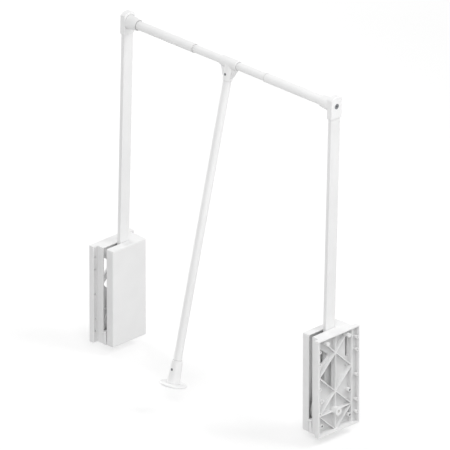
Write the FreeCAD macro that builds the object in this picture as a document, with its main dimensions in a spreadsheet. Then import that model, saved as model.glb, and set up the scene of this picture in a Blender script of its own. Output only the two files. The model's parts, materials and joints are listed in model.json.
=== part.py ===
import FreeCAD, Part
import math
import os
import re
import Sketcher

# Pull-down closet rod: two wall housings, two swinging arms, a telescopic rail and a pull handle.
# Frame: x runs along the rail from the left wall plane (x = 0) to the right one (x = span),
# y points to the back of the wardrobe, z is up. y = 0 and z = 0 are the centre of the housings.
# The left half is modelled; the right half is its mirror image about x = span / 2.

SIZES = {
    # distance between the two side walls of the wardrobe, and the poses at rest
    "span": 760.0,
    "rest_lean": 1.65,
    "handle_lean": 13.9,
    # housing outline
    "box_height": 250.0,
    "box_depth": 110.0,
    "flange_depth": 136.0,
    "flange_thickness": 13.0,
    "flange_round": 3.0,
    "base_thickness": 33.0,
    "slot_width": 12.0,
    "cover_thickness": 21.0,
    "cover_round": 3.0,
    "edge_round": 1.0,
    "base_wall": 3.0,
    "rim_wall": 2.5,
    "cover_wall": 2.5,
    # back of the base: recess of the ribs, floor, ribs
    "rim_recess": 10.0,
    "floor_depth": 21.0,
    "floor_thickness": 3.0,
    "rib_thickness": 2.0,
    "rib_top": 73.0,
    "peg_offset": 35.0,
    "peg_height": 109.0,
    "peg_radius": 5.0,
    "peg_socket_radius": 5.5,
    "peg_pin_radius": 3.0,
    # openings in the floor of the base
    "side_window_apex": 15.0,
    "side_window_half_height": 28.0,
    "centre_window_half_depth": 46.0,
    "window_rib_gap": 3.0,
    "rear_slit_width": 6.0,
    "rear_slit_top": 97.0,
    "rear_slit_foot": 47.0,
    "rear_hole_offset": 42.0,
    "rear_hole_height": 22.0,
    "rear_hole_radius": 2.2,
    # pivot
    "pivot_drop": 75.0,
    "pivot_boss_radius": 10.0,
    "pivot_pin_radius": 6.0,
    "pin_spigot_radius": 4.3,
    "pin_spigot_end": 14.0,
    "pin_recess": 1.0,
    "bearing_pad_radius": 42.0,
    "slide_gap": 0.5,
    "bush_wall": 2.0,
    "washer_radius": 12.0,
    "washer_thickness": 0.9,
    "ring_radius": 9.0,
    "ring_thickness": 1.2,
    "ring_groove": 0.8,
    "ring_opening": 8.0,
    # fit clearances, measured on the radius or on one side
    "running_clearance": 0.06,
    "seat_clearance": 0.05,
    "stop_clearance": 0.3,
    # screws that hold the cover
    "cover_screw_offset": 46.0,
    "cover_screw_upper": 38.0,
    "cover_screw_lower": 102.0,
    "screw_boss_radius": 5.0,
    "screw_post_radius": 4.0,
    "screw_boss_start": 9.0,
    "cover_screw_radius": 1.75,
    "cover_screw_head": 3.3,
    "cover_screw_head_length": 2.4,
    "cover_screw_seat": 12.4,
    "cover_screw_length": 40.0,
    # screws to the wardrobe wall, on the 32 mm system
    "wall_row_depth": 123.0,
    "wall_outer_rows": 192.0,
    "wall_inner_rows": 128.0,
    "wall_hole_radius": 2.5,
    "wall_boss_radius": 4.2,
    # stops
    "stop_height": 15.3,
    "stop_width": 10.4,
    "stop_length": 33.0,
    "stop_lip": 5.0,
    "stop_lip_thickness": 3.5,
    "stop_taper": 3.0,
    "buffer_thickness": 6.0,
    "buffer_height": 24.0,
    "buffer_width": 8.0,
    "buffer_top": 119.0,
    "buffer_wall": 2.5,
    # arm
    "arm_length": 763.3,
    "arm_width": 30.0,
    "arm_thickness": 10.0,
    "arm_wall": 1.5,
    "arm_round": 1.2,
    "arm_overrun": 12.0,
    # spring drum and torsion spring
    "drum_radius": 46.0,
    "drum_thickness": 3.5,
    "drum_hub_radius": 13.0,
    "drum_hub_length": 16.0,
    "drum_lug_radius": 3.0,
    "drum_lug_length": 7.0,
    "rivet_first": 20.0,
    "rivet_pitch": 15.0,
    "rivet_radius": 3.0,
    "rivet_head_radius": 4.5,
    "rivet_head_height": 1.4,
    "rivet_sink": 0.8,
    "spring_radius": 24.0,
    "spring_wire": 4.2,
    "spring_pitch": 4.4,
    "spring_turns": 2.0,
    "spring_leg": 30.0,
    "spring_start": 3.6,
    # bracket between arm and rail
    "bracket_width": 34.0,
    "bracket_thickness": 15.0,
    "bracket_below": 31.0,
    "bracket_crown": 24.0,
    "bracket_round": 1.5,
    "collar_length": 30.0,
    "collar_root_radius": 17.0,
    "collar_end_radius": 13.8,
    "collar_lead_in": 1.0,
    "socket_floor": 1.5,
    "bracket_screw_radius": 3.0,
    "bracket_screw_head": 6.8,
    "bracket_screw_cone": 1.9,
    "bracket_screw_sink": 0.3,
    "bracket_screw_length": 28.0,
    "hex_recess": 2.4,
    "hex_depth": 1.6,
    # rail
    "outer_tube_radius": 11.0,
    "outer_tube_wall": 1.0,
    "outer_tube_end": 260.0,
    "tube_plug_length": 14.0,
    "centre_tube_radius": 9.5,
    "centre_tube_wall": 1.2,
    "centre_tube_length": 440.0,
    "centre_plug_length": 12.0,
    "centre_plug_rim": 3.0,
    "centre_plug_radius": 9.8,
    "glide_length": 15.0,
    "glide_flange": 2.5,
    "glide_flange_radius": 11.3,
    # handle
    "tee_length": 53.0,
    "tee_radius": 12.0,
    "tee_neck": 42.0,
    "tee_socket_start": 14.0,
    "tee_web": 7.0,
    "tee_web_shoulder": 9.0,
    "tee_web_round": 14.0,
    "handle_tube_radius": 10.0,
    "handle_tube_wall": 1.2,
    "tee_screw_drop": 27.0,
    "handle_screw_radius": 1.6,
    "handle_screw_head": 3.3,
    "handle_screw_cone": 1.2,
    "handle_screw_sink": 0.4,
    "handle_screw_length": 6.0,
    "foot_start": 728.0,
    "foot_end": 784.0,
    "foot_floor": 3.0,
    "foot_top_radius": 13.0,
    "foot_root_radius": 15.8,
    "foot_disc_radius": 32.5,
    "foot_disc_thickness": 5.5,
    "foot_disc_round": 2.4,
    "foot_screw_drop": 750.0,
}

doc = FreeCAD.newDocument("PullDownClosetRod")
sheet = doc.addObject("Spreadsheet::Sheet", "Sizes")
for row, (alias, size) in enumerate(SIZES.items(), start=1):
    sheet.set(f"A{row}", alias)
    sheet.set(f"B{row}", str(size))
    sheet.setAlias(f"B{row}", alias)
doc.recompute()

# Places that many pieces share, as rules on the sheet.
ARM_X = "(base_thickness + slot_width / 2)"
ARM_IN = "(base_thickness + slot_width / 2 - arm_thickness / 2)"
ARM_OUT = "(base_thickness + slot_width / 2 + arm_thickness / 2)"
COVER_X = "(base_thickness + slot_width)"
COVER_FLOOR = "(base_thickness + slot_width + cover_thickness - cover_wall)"
FLOOR_TOP = "(floor_depth + floor_thickness)"
BOX_Y = "(box_depth / 2)"
BOX_Z = "(box_height / 2)"
IN_Y = "(box_depth / 2 - base_wall)"
IN_Z = "(box_height / 2 - base_wall)"
PIVOT_Z = "(-pivot_drop)"
RIB_STEP = "((rib_top + pivot_drop) / 3)"
PAD_FACE = "base_thickness"
DRUM_FACE = f"({ARM_OUT} + seat_clearance)"
DRUM_BACK = f"({DRUM_FACE} + drum_thickness)"
HUB_END = f"({DRUM_FACE} + drum_hub_length)"
RAIL_Y = "(arm_length * sin(rest_lean))"
RAIL_Z = "(arm_length * cos(rest_lean) - pivot_drop)"
BRACKET_OUT = f"({ARM_X} - bracket_thickness / 2)"
BRACKET_IN = f"({ARM_X} + bracket_thickness / 2)"
SOCKET_X = f"({BRACKET_IN} + socket_floor)"
TUBE_START = f"({SOCKET_X} + seat_clearance)"
BEARING_RADIUS = "(pivot_pin_radius + running_clearance)"
BUSH_RADIUS = "(pivot_pin_radius + running_clearance + bush_wall)"
CENTRE_START = "(span / 2 - centre_tube_length / 2)"
LUG_Y = "(spring_radius + spring_wire / 2 + drum_lug_radius + stop_clearance)"
LUG_Z = "(spring_leg - drum_lug_radius)"
POST_Y = f"({LUG_Y} * cos(rest_lean) - {LUG_Z} * sin(rest_lean))"
POST_Z = f"({PIVOT_Z} - {LUG_Z} * cos(rest_lean) - {LUG_Y} * sin(rest_lean))"
SPRING_X = f"({DRUM_BACK} + spring_start)"

parts = []


def full(rule):
    """Return a rule such as 'box_height / 2' as an expression that names the sheet's cells."""
    return re.sub(r"[a-z]+(?:_[a-z]+)*",
                  lambda word: f"Sizes.{word.group()}" if word.group() in SIZES else word.group(),
                  str(rule))


def value(rule):
    """Return the number that a rule gives with the present sizes."""
    return float(sheet.evalExpression(full(rule)))


def bind(item, path, rule):
    """Tie one property of an object to a rule."""
    item.setExpression(path, full(rule))


def keep(item, label):
    """Name a finished sub-part; its label is the name of its file."""
    item.Label = label
    parts.append(item)
    return item


def place(item, at=("0", "0", "0"), axis=None, angle="0"):
    """Tie the placement of an object to rules for its position and its turn."""
    turn = FreeCAD.Rotation(axis or FreeCAD.Vector(1, 0, 0), 1.0)
    item.Placement = FreeCAD.Placement(FreeCAD.Vector(0, 0, 0), turn)
    for path, rule in zip(("x", "y", "z"), at):
        bind(item, f"Placement.Base.{path}", rule)
    bind(item, "Placement.Rotation.Angle", angle)


def on_arm(item):
    """Place a piece modelled in the arm's frame: pivot at the origin, arm straight up."""
    place(item, at=("0", "0", PIVOT_Z), angle="-rest_lean")


def on_rail(item):
    """Place a piece modelled on the rail's axis."""
    place(item, at=("0", RAIL_Y, RAIL_Z))


def on_handle(item):
    """Place a piece modelled in the handle's frame: rail axis at the origin, handle straight down."""
    place(item, at=("span / 2", RAIL_Y, RAIL_Z), angle="-handle_lean")


def check(feature):
    """Recompute and stop if a feature has failed."""
    doc.recompute()
    if "Invalid" in feature.State or "Error" in feature.State or feature.Shape.isNull():
        raise RuntimeError(f"{feature.Name} failed: {feature.State} {feature.getStatusString()}")
    return feature


def new_body(name):
    """Start a body."""
    return doc.addObject("PartDesign::Body", name)


def new_sketch(body, plane="YZ_Plane", offset="0", rise="0"):
    """Start a sketch on one of the body's own planes, moved along its normal and its second axis."""
    sketch = body.newObject("Sketcher::SketchObject", f"{body.Name}_sketch")
    support = next(item for item in body.Origin.OriginFeatures if item.Role == plane)
    sketch.AttachmentSupport = [(support, "")]
    sketch.MapMode = "FlatFace"
    bind(sketch, "AttachmentOffset.Base.z", offset)
    bind(sketch, "AttachmentOffset.Base.y", rise)
    return sketch


def pin(sketch, geometry, point, across, up):
    """Hold a sketch point at a place given by two rules."""
    for kind, rule in (("DistanceX", across), ("DistanceY", up)):
        index = sketch.addConstraint(
            Sketcher.Constraint(kind, -1, 1, geometry, point, value(rule)))
        bind(sketch, f"Constraints[{index}]", rule)


def radius(sketch, geometry, rule):
    """Hold the radius of a circle or an arc."""
    index = sketch.addConstraint(Sketcher.Constraint("Radius", geometry, value(rule)))
    bind(sketch, f"Constraints[{index}]", rule)


def polygon(sketch, corners):
    """Draw a closed outline of straight lines through corners given by rules."""
    places = [FreeCAD.Vector(value(across), value(up), 0) for across, up in corners]
    first = sketch.GeometryCount
    ends = places[1:] + places[:1]
    sketch.addGeometry([Part.LineSegment(start, end) for start, end in zip(places, ends)])
    for index, (across, up) in enumerate(corners):
        following = first + (index + 1) % len(corners)
        sketch.addConstraint(Sketcher.Constraint("Coincident", first + index, 2, following, 1))
        pin(sketch, first + index, 1, across, up)


def rectangle(sketch, left, right, low, high):
    """Draw a rectangle between four rules."""
    polygon(sketch, [(left, low), (right, low), (right, high), (left, high)])


def circle(sketch, across, up, size):
    """Draw a circle whose centre and radius are rules."""
    centre = FreeCAD.Vector(value(across), value(up), 0)
    index = sketch.addGeometry(Part.Circle(centre, FreeCAD.Vector(0, 0, 1), value(size)))
    pin(sketch, index, 3, across, up)
    radius(sketch, index, size)


def pad(body, sketch, length):
    """Add material from a sketch along its normal."""
    feature = body.newObject("PartDesign::Pad", f"{body.Name}_pad")
    feature.Profile = sketch
    bind(feature, "Length", length)
    return check(feature)


def cut(body, sketch, length, along_normal=False):
    """Take material away from a sketch, against its normal or along it; some has to go."""
    before = body.Shape.Volume
    feature = body.newObject("PartDesign::Pocket", f"{body.Name}_cut")
    feature.Profile = sketch
    feature.Reversed = along_normal
    bind(feature, "Length", length)
    check(feature)
    if body.Shape.Volume > before - 1e-6:
        raise RuntimeError(f"{feature.Name} takes nothing away from {body.Name}")
    return feature


def turn(body, sketch, kind="PartDesign::Revolution", axis="H_Axis"):
    """Revolve a sketch about one of its axes, to add or to take away material."""
    before = body.Shape.Volume if kind == "PartDesign::Groove" else None
    feature = body.newObject(kind, f"{body.Name}_turn")
    feature.Profile = sketch
    feature.ReferenceAxis = (sketch, [axis])
    feature.Angle = 360
    check(feature)
    if before is not None and body.Shape.Volume > before - 1e-6:
        raise RuntimeError(f"{feature.Name} takes nothing away from {body.Name}")
    return feature


def soften(body, size, choose, kind="PartDesign::Fillet"):
    """Round the edges of a body that a test picks."""
    names = [f"Edge{index}" for index, edge in enumerate(body.Shape.Edges, start=1) if choose(edge)]
    if not names:
        raise RuntimeError(f"no edge of {body.Name} to round")
    base = body.Tip
    feature = body.newObject(kind, f"{body.Name}_round")
    feature.Base = (base, names)
    bind(feature, "Radius", size)
    return check(feature)


def near(number, rule):
    """Tell whether a number is what a rule gives."""
    return abs(number - value(rule)) < 1e-4


def spans(edge, axis):
    """Return the low and high ends of an edge along x, y or z."""
    box = edge.BoundBox
    return getattr(box, f"{axis}Min"), getattr(box, f"{axis}Max")


def flat_at(edge, axis, rule):
    """Tell whether an edge lies in the plane across an axis that a rule gives."""
    low, high = spans(edge, axis)
    return near(low, rule) and near(high, rule)


def block(body, left, right, low, high, start, length):
    """Add a rectangular block that starts at x = start."""
    sketch = new_sketch(body, offset=start)
    rectangle(sketch, left, right, low, high)
    return pad(body, sketch, length)


def hollow(body, left, right, low, high, end, length):
    """Cut a rectangular recess that ends at x = end and runs back towards the wall."""
    sketch = new_sketch(body, offset=end)
    rectangle(sketch, left, right, low, high)
    return cut(body, sketch, length)


def posts(body, places, size, start, length):
    """Add round posts along x."""
    for across, up in places:
        sketch = new_sketch(body, offset=start)
        circle(sketch, across, up, size)
        pad(body, sketch, length)


def bores(body, places, size, end, length):
    """Drill round holes that end at x = end and run back towards the wall."""
    sketch = new_sketch(body, offset=end)
    for across, up in places:
        circle(sketch, across, up, size)
    cut(body, sketch, length)


def turned(name, profile):
    """Make a body that is turned about x from a profile of (x, radius) corners."""
    body = new_body(name)
    sketch = new_sketch(body, plane="XY_Plane")
    polygon(sketch, profile)
    turn(body, sketch)
    return body


def tube(name, start, end, inner, outer):
    """Make a round tube along x."""
    return turned(name, [(start, inner), (end, inner), (end, outer), (start, outer)])


def hexagon(sketch, across, up, size):
    """Draw a hexagon with a corner on its second axis."""
    corners = [(f"{across} + {size} * sin({60 * corner})", f"{up} + {size} * cos({60 * corner})")
               for corner in range(6)]
    polygon(sketch, corners)


def group(name, members):
    """Join separate solids of one kind into one sub-part."""
    compound = doc.addObject("Part::Compound", name)
    compound.Links = members
    return compound


def arm_back(height):
    """Return the rule for the y of the resting arm's rear face at a height."""
    return f"(({height} + pivot_drop) * tan(rest_lean) + arm_width / 2 / cos(rest_lean))"


# ---------------------------------------------------------------- housing

COVER_SCREWS = [("cover_screw_offset", "-cover_screw_upper"),
                ("cover_screw_offset", "-cover_screw_lower"),
                ("-cover_screw_offset", "-cover_screw_lower")]
SPARE_BOSS = ("-cover_screw_offset", "-cover_screw_upper")
PEGS = [("-peg_offset", "peg_height"), ("peg_offset", "peg_height")]
WALL_SCREWS = [(f"{side} wall_row_depth / 2", height)
               for side in ("-", "")
               for height in ("wall_outer_rows / 2", "wall_inner_rows / 2", "0",
                              "-wall_inner_rows / 2", "-wall_outer_rows / 2")]


def rib_band(body, side):
    """Add the zigzag rib of one side: from the far peg down to the bottom wall."""
    half = "rib_thickness * 0.7"
    wall_y = f"{side} (box_depth / 2 - base_wall / 2)"
    path = [(f"-({side} peg_offset)", "peg_height"), ("0", "rib_top"),
            (wall_y, f"rib_top - {RIB_STEP}"), ("0", f"rib_top - 2 * {RIB_STEP}"),
            (wall_y, f"rib_top - 3 * {RIB_STEP}"), ("0", f"rib_top - 4 * {RIB_STEP}")]
    right = [(f"{across} + {half}", up) for across, up in path]
    left = [(f"{across} - {half}", up) for across, up in reversed(path)]
    sketch = new_sketch(body, offset="rim_recess")
    polygon(sketch, right + left)
    pad(body, sketch, "floor_depth - rim_recess")


def build_base():
    """Moulded base that is screwed to the wardrobe wall."""
    body = new_body("base")
    outline = new_sketch(body, plane="XY_Plane", offset=f"-{BOX_Z}")
    half = "flange_depth / 2"
    polygon(outline, [("0", f"-{half}"), ("flange_thickness", f"-{half}"),
                      ("flange_thickness", f"-{BOX_Y}"), ("base_thickness", f"-{BOX_Y}"),
                      ("base_thickness", BOX_Y), ("flange_thickness", BOX_Y),
                      ("flange_thickness", half), ("0", half)])
    pad(body, outline, "box_height")
    soften(body, "flange_round",
           lambda edge: flat_at(edge, "X", "flange_thickness") and edge.BoundBox.ZLength > 1)
    soften(body, "edge_round",
           lambda edge: edge.BoundBox.ZLength < 1e-4 and not flat_at(edge, "X", "0"))
    rim_y = f"({half} - rim_wall)"
    hollow(body, f"-{rim_y}", rim_y, f"-{IN_Z}", IN_Z, "rim_recess", "rim_recess")
    hollow(body, f"-{IN_Y}", IN_Y, f"-{IN_Z}", IN_Z, "floor_depth", "floor_depth")
    hollow(body, f"-{IN_Y}", IN_Y, f"-{IN_Z}", IN_Z,
           "base_thickness", f"base_thickness - {FLOOR_TOP}")

    # bridges across the slot: rear wall, top wall behind the arm, bottom wall
    rear = f"({arm_back(BOX_Z)} + slide_gap)"
    block(body, IN_Y, BOX_Y, f"-{BOX_Z}", BOX_Z, "base_thickness", "slot_width")
    block(body, rear, BOX_Y, IN_Z, BOX_Z, "base_thickness", "slot_width")
    block(body, f"-{BOX_Y}", BOX_Y, f"-{BOX_Z}", f"-{IN_Z}", "base_thickness", "slot_width")

    # wall that carries the rest buffer
    buffer_y = f"({arm_back('buffer_top')} + stop_clearance + buffer_thickness)"
    block(body, buffer_y, f"{buffer_y} + buffer_wall", "buffer_top - buffer_height - base_wall",
          f"{IN_Z} + base_wall / 2", f"{FLOOR_TOP} - floor_thickness / 2",
          f"{COVER_X} - {FLOOR_TOP}")

    # ribs on the wall side
    block(body, "-rib_thickness / 2", "rib_thickness / 2", f"-{IN_Z} - base_wall / 2",
          f"{IN_Z} + base_wall / 2", "rim_recess", "floor_depth - rim_recess")
    block(body, f"-{IN_Y} - base_wall / 2", f"{IN_Y} + base_wall / 2",
          f"{PIVOT_Z} - rib_thickness / 2", f"{PIVOT_Z} + rib_thickness / 2",
          "rim_recess", "floor_depth - rim_recess")
    rib_band(body, "1 *")
    rib_band(body, "-1 *")

    # bosses on the wall side
    posts(body, WALL_SCREWS, "wall_boss_radius", "0", "flange_thickness - 1")
    posts(body, PEGS, "peg_radius", "0", "floor_depth")
    posts(body, COVER_SCREWS + [SPARE_BOSS], "screw_boss_radius",
          "screw_boss_start", "floor_depth - screw_boss_start")
    posts(body, [("0", PIVOT_Z)], "pivot_boss_radius", "0", "floor_depth")

    # bosses on the slot side
    posts(body, [("0", PIVOT_Z)], "bearing_pad_radius", "floor_depth",
          f"{PAD_FACE} - floor_depth")
    posts(body, COVER_SCREWS, "screw_boss_radius", "floor_depth", f"{ARM_X} - floor_depth")
    posts(body, [SPARE_BOSS], "screw_boss_radius", "floor_depth",
          "base_thickness - floor_depth - rib_thickness")
    posts(body, [PEGS[1]], "peg_socket_radius", "floor_depth", f"{ARM_X} - floor_depth")

    # openings in the floor: a window beside the front wall, another beside the centre rib,
    # a slit and a small hole at the rear
    window_z = "(rib_top - window_rib_gap)"
    middle_z = f"(rib_top - {RIB_STEP})"
    front = f"-({IN_Y} - base_wall)"
    reach = "(centre_window_half_depth - window_rib_gap)"
    slit = f"({IN_Y} - 1.5 * base_wall)"
    sketch = new_sketch(body, offset=FLOOR_TOP)
    polygon(sketch, [(front, f"{window_z} + side_window_half_height"),
                     ("-side_window_apex", window_z),
                     (front, f"{window_z} - side_window_half_height")])
    polygon(sketch, [("-window_rib_gap", f"{middle_z} + {reach}"),
                     ("-centre_window_half_depth", middle_z),
                     ("-window_rib_gap", f"{middle_z} - {reach}")])
    rectangle(sketch, f"{slit} - rear_slit_width", slit, "rear_slit_foot", "rear_slit_top")
    circle(sketch, "rear_hole_offset", "rear_hole_height", "rear_hole_radius")
    cut(body, sketch, "floor_thickness")

    # holes
    bores(body, WALL_SCREWS, "wall_hole_radius", "flange_thickness", "flange_thickness")
    bores(body, [("0", PIVOT_Z)], "pivot_pin_radius + seat_clearance",
          PAD_FACE, f"{PAD_FACE} - pin_spigot_end")
    bores(body, [("0", PIVOT_Z)], "pin_spigot_radius + seat_clearance",
          "pin_spigot_end", "pin_spigot_end")
    bores(body, COVER_SCREWS + [SPARE_BOSS], "cover_screw_radius + seat_clearance", ARM_X, ARM_X)
    bores(body, COVER_SCREWS + [SPARE_BOSS], "cover_screw_head + 2 * seat_clearance",
          "cover_screw_seat", "cover_screw_seat")
    bores(body, [PEGS[1]], "peg_pin_radius + 2 * seat_clearance", ARM_X, f"{ARM_X} - {FLOOR_TOP}")
    return keep(body, "left_base")


def build_cover():
    """Moulded cover over the spring, screwed to the base from behind."""
    body = new_body("cover")
    block(body, f"-{BOX_Y}", BOX_Y, f"-{BOX_Z}", BOX_Z, COVER_X, "cover_thickness")
    soften(body, "cover_round", lambda edge: not flat_at(edge, "X", COVER_X))
    inner_y = "(box_depth / 2 - cover_wall)"
    inner_z = "(box_height / 2 - cover_wall)"
    hollow(body, f"-{inner_y}", inner_y, f"-{inner_z}", inner_z,
           COVER_FLOOR, "cover_thickness - cover_wall")
    posts(body, COVER_SCREWS, "screw_post_radius", ARM_X, f"{COVER_FLOOR} - {ARM_X}")
    posts(body, [PEGS[1]], "peg_pin_radius", f"{ARM_X} - 2 * base_wall",
          f"{COVER_FLOOR} - {ARM_X} + 2 * base_wall")
    post_start = f"({SPRING_X} + spring_pitch * spring_turns - spring_wire)"
    posts(body, [(POST_Y, POST_Z)], "drum_lug_radius",
          post_start, f"{COVER_FLOOR} - {post_start}")
    rim_start = f"({HUB_END} + ring_thickness + 2 * stop_clearance)"
    posts(body, [("0", PIVOT_Z)], "ring_radius", rim_start, f"{COVER_FLOOR} - {rim_start}")
    bores(body, [("0", PIVOT_Z)], "pivot_pin_radius + seat_clearance",
          COVER_FLOOR, f"{COVER_FLOOR} - {rim_start}")
    screw_end = "(cover_screw_seat + cover_screw_length + slide_gap)"
    bores(body, COVER_SCREWS, "cover_screw_radius + seat_clearance",
          screw_end, f"{screw_end} - {ARM_X}")
    return keep(body, "left_cover")


def build_lower_stop(name, label, x_start):
    """Stop that fills the slot below the lowered arm, with a lip and a tapered edge."""
    body = new_body(name)
    low = f"-{IN_Z}"
    top = f"({PIVOT_Z} - stop_height)"
    under = f"({top} - stop_lip_thickness)"
    rear = "(box_depth / 2 - stop_length)"
    right = f"({x_start} + stop_width)"
    sketch = new_sketch(body, plane="XZ_Plane", offset=rear)
    polygon(sketch, [(x_start, low), (right, low), (f"{right} - stop_taper", under),
                     (x_start, under)])
    pad(body, sketch, "stop_length")
    lip = new_sketch(body, plane="XZ_Plane", offset=rear)
    rectangle(lip, x_start, right, under, top)
    pad(body, lip, "stop_length + stop_lip")
    soften(body, "edge_round", lambda edge: flat_at(edge, "Y", f"-{BOX_Y} - stop_lip"))
    bore = new_sketch(body, offset=f"{right} + 1")
    circle(bore, *COVER_SCREWS[2], "screw_boss_radius + 2 * seat_clearance")
    cut(body, bore, "stop_width + 2")
    return keep(body, label)


def build_housing():
    """All pieces that stay on the left wall."""
    build_base()
    build_cover()
    build_lower_stop("stop", "left_lower_stop", "(base_thickness + stop_clearance)")

    buffer = new_body("buffer")
    face = f"({arm_back('buffer_top')} + stop_clearance)"
    block(buffer, face, f"{face} + buffer_thickness", "buffer_top - buffer_height", "buffer_top",
          f"{ARM_X} - buffer_width / 2", "buffer_width")
    soften(buffer, "edge_round", lambda edge: flat_at(edge, "Y", face))
    keep(buffer, "left_rest_buffer")

    pin_end = f"({COVER_FLOOR} - slide_gap)"
    shoulder = "(pin_spigot_end + seat_clearance)"
    groove = f"({HUB_END} + stop_clearance)"
    groove_end = f"({groove} + ring_thickness + seat_clearance)"
    groove_radius = "(pivot_pin_radius - ring_groove)"
    pivot_pin = turned("pivot_pin", [
        ("pin_recess", "0"), ("pin_recess", "pin_spigot_radius"),
        (shoulder, "pin_spigot_radius"), (shoulder, "pivot_pin_radius"),
        (groove, "pivot_pin_radius"), (groove, groove_radius),
        (groove_end, groove_radius), (groove_end, "pivot_pin_radius"),
        (pin_end, "pivot_pin_radius"), (pin_end, "0")])
    place(pivot_pin, at=("0", "0", PIVOT_Z))
    keep(pivot_pin, "left_pivot_pin")

    ring = tube("retaining_ring", f"{groove} + seat_clearance / 2",
                f"{groove_end} - seat_clearance / 2",
                f"{groove_radius} + seat_clearance", "ring_radius")
    opening = new_sketch(ring, offset=COVER_FLOOR)
    rectangle(opening, "-ring_opening / 2", "ring_opening / 2", "-ring_radius - 1", "0")
    cut(ring, opening, "cover_thickness")
    place(ring, at=("0", "0", PIVOT_Z))
    keep(ring, "left_retaining_ring")

    washer_start = f"({PAD_FACE} + seat_clearance)"
    washer = tube("washer", washer_start, f"{washer_start} + washer_thickness",
                  "pivot_pin_radius + 4 * running_clearance", "washer_radius")
    place(washer, at=("0", "0", PIVOT_Z))
    keep(washer, "left_pivot_washer")

    screws = []
    seat = "cover_screw_seat"
    for index, (across, up) in enumerate(COVER_SCREWS):
        screw = turned(f"cover_screw_{index}", [
            (f"{seat} - cover_screw_head_length", "0"),
            (f"{seat} - cover_screw_head_length", "cover_screw_head"),
            (seat, "cover_screw_head"), (seat, "cover_screw_radius"),
            (f"{seat} + cover_screw_length - cover_screw_radius", "cover_screw_radius"),
            (f"{seat} + cover_screw_length", "0")])
        recess = new_sketch(screw, offset=f"{seat} - cover_screw_head_length / 2")
        hexagon(recess, "0", "0", "cover_screw_radius")
        cut(screw, recess, "cover_screw_head_length")
        place(screw, at=("0", across, up))
        screws.append(screw)
    keep(group("cover_screws", screws), "left_cover_screws")


# ---------------------------------------------------------------- torsion spring

def build_spring():
    """Torsion spring round the drum's hub; one leg pushes the drum, the other rests on the cover.

    Its coils are half rings, tilted by turns so that each climbs half a pitch.
    """
    tilt = "atan(spring_pitch / (4 * spring_radius))"
    pieces = []
    for index in range(round(value("2 * spring_turns"))):
        arc = doc.addObject("Part::Torus", f"spring_arc_{index}")
        bind(arc, "Radius1", f"spring_radius / cos({tilt})")
        bind(arc, "Radius2", "spring_wire / 2")
        arc.Angle3 = 180
        sign = "-" if index % 2 else ""
        place(arc, at=("0", "0", f"spring_pitch * {2 * index + 1} / 4"),
              axis=FreeCAD.Vector(0, 1, 0), angle=f"{sign}{tilt}")
        if index % 2 == 0:
            front = doc.addObject("Part::Mirroring", f"spring_front_{index}")
            front.Source = arc
            front.Normal = FreeCAD.Vector(0, 1, 0)
            arc = front
        pieces.append(arc)
    for name, height, angle in (("spring_leg_drum", "0", "-90"),
                                ("spring_leg_cover", "spring_pitch * spring_turns", "90")):
        leg = doc.addObject("Part::Cylinder", name)
        bind(leg, "Radius", "spring_wire / 2")
        bind(leg, "Height", "spring_leg")
        place(leg, at=("spring_radius", "0", height), angle=angle)
        pieces.append(leg)
    spring = doc.addObject("Part::MultiFuse", "spring")
    spring.Shapes = pieces
    place(spring, at=(SPRING_X, "0", "0"), axis=FreeCAD.Vector(1, 1, 1), angle="120")
    turned_spring = group("spring_at_pivot", [spring])
    on_arm(turned_spring)
    return keep(turned_spring, "left_torsion_spring")


# ---------------------------------------------------------------- arm

def build_arm_tube():
    """Flat steel tube with a closed round foot at the pivot and an open top."""
    body = new_body("arm_tube")
    top = "arm_length + arm_overrun"
    half = "arm_width / 2"
    block(body, f"-{half}", half, "0", top, ARM_IN, "arm_thickness")
    posts(body, [("0", "0")], half, ARM_IN, "arm_thickness")
    soften(body, "arm_round", lambda edge: edge.BoundBox.ZLength > value(half) * 0.9
           or edge.Curve.TypeId == "Part::GeomCircle")
    inner = f"({half} - arm_wall)"
    hollow(body, f"-{inner}", inner, half, f"{top} + 1",
           f"{ARM_OUT} - arm_wall", "arm_thickness - 2 * arm_wall")
    rivets = [("0", "rivet_first"), ("0", "rivet_first + rivet_pitch")]
    bores(body, rivets, "rivet_radius + seat_clearance", f"{ARM_OUT} + 1", "arm_thickness + 2")
    bores(body, rivets, "rivet_head_radius + seat_clearance",
          f"{ARM_IN} + rivet_sink", "rivet_sink + 1")
    bores(body, [("0", "0")], f"{BUSH_RADIUS} + seat_clearance",
          f"{ARM_OUT} + 1", "arm_thickness + 2")
    bores(body, [("0", "arm_length")], "bracket_screw_radius + 4 * seat_clearance",
          f"{ARM_OUT} + 1", "arm_thickness + 2")
    on_arm(body)
    return keep(body, "left_arm_tube")


def build_drum():
    """Round drum riveted to the arm; its lug winds the spring as the arm comes down."""
    body = turned("drum", [
        (DRUM_FACE, f"{BUSH_RADIUS} + seat_clearance"), (DRUM_FACE, "drum_radius"),
        (DRUM_BACK, "drum_radius"), (DRUM_BACK, "drum_hub_radius"),
        (HUB_END, "drum_hub_radius"), (HUB_END, f"{BUSH_RADIUS} + seat_clearance")])
    posts(body, [(LUG_Y, LUG_Z)], "drum_lug_radius", DRUM_BACK, "drum_lug_length")
    rivets = [("0", "rivet_first"), ("0", "rivet_first + rivet_pitch")]
    bores(body, rivets, "rivet_radius + seat_clearance", f"{DRUM_BACK} + 1", "drum_thickness + 2")
    on_arm(body)
    return keep(body, "left_spring_drum")


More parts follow.
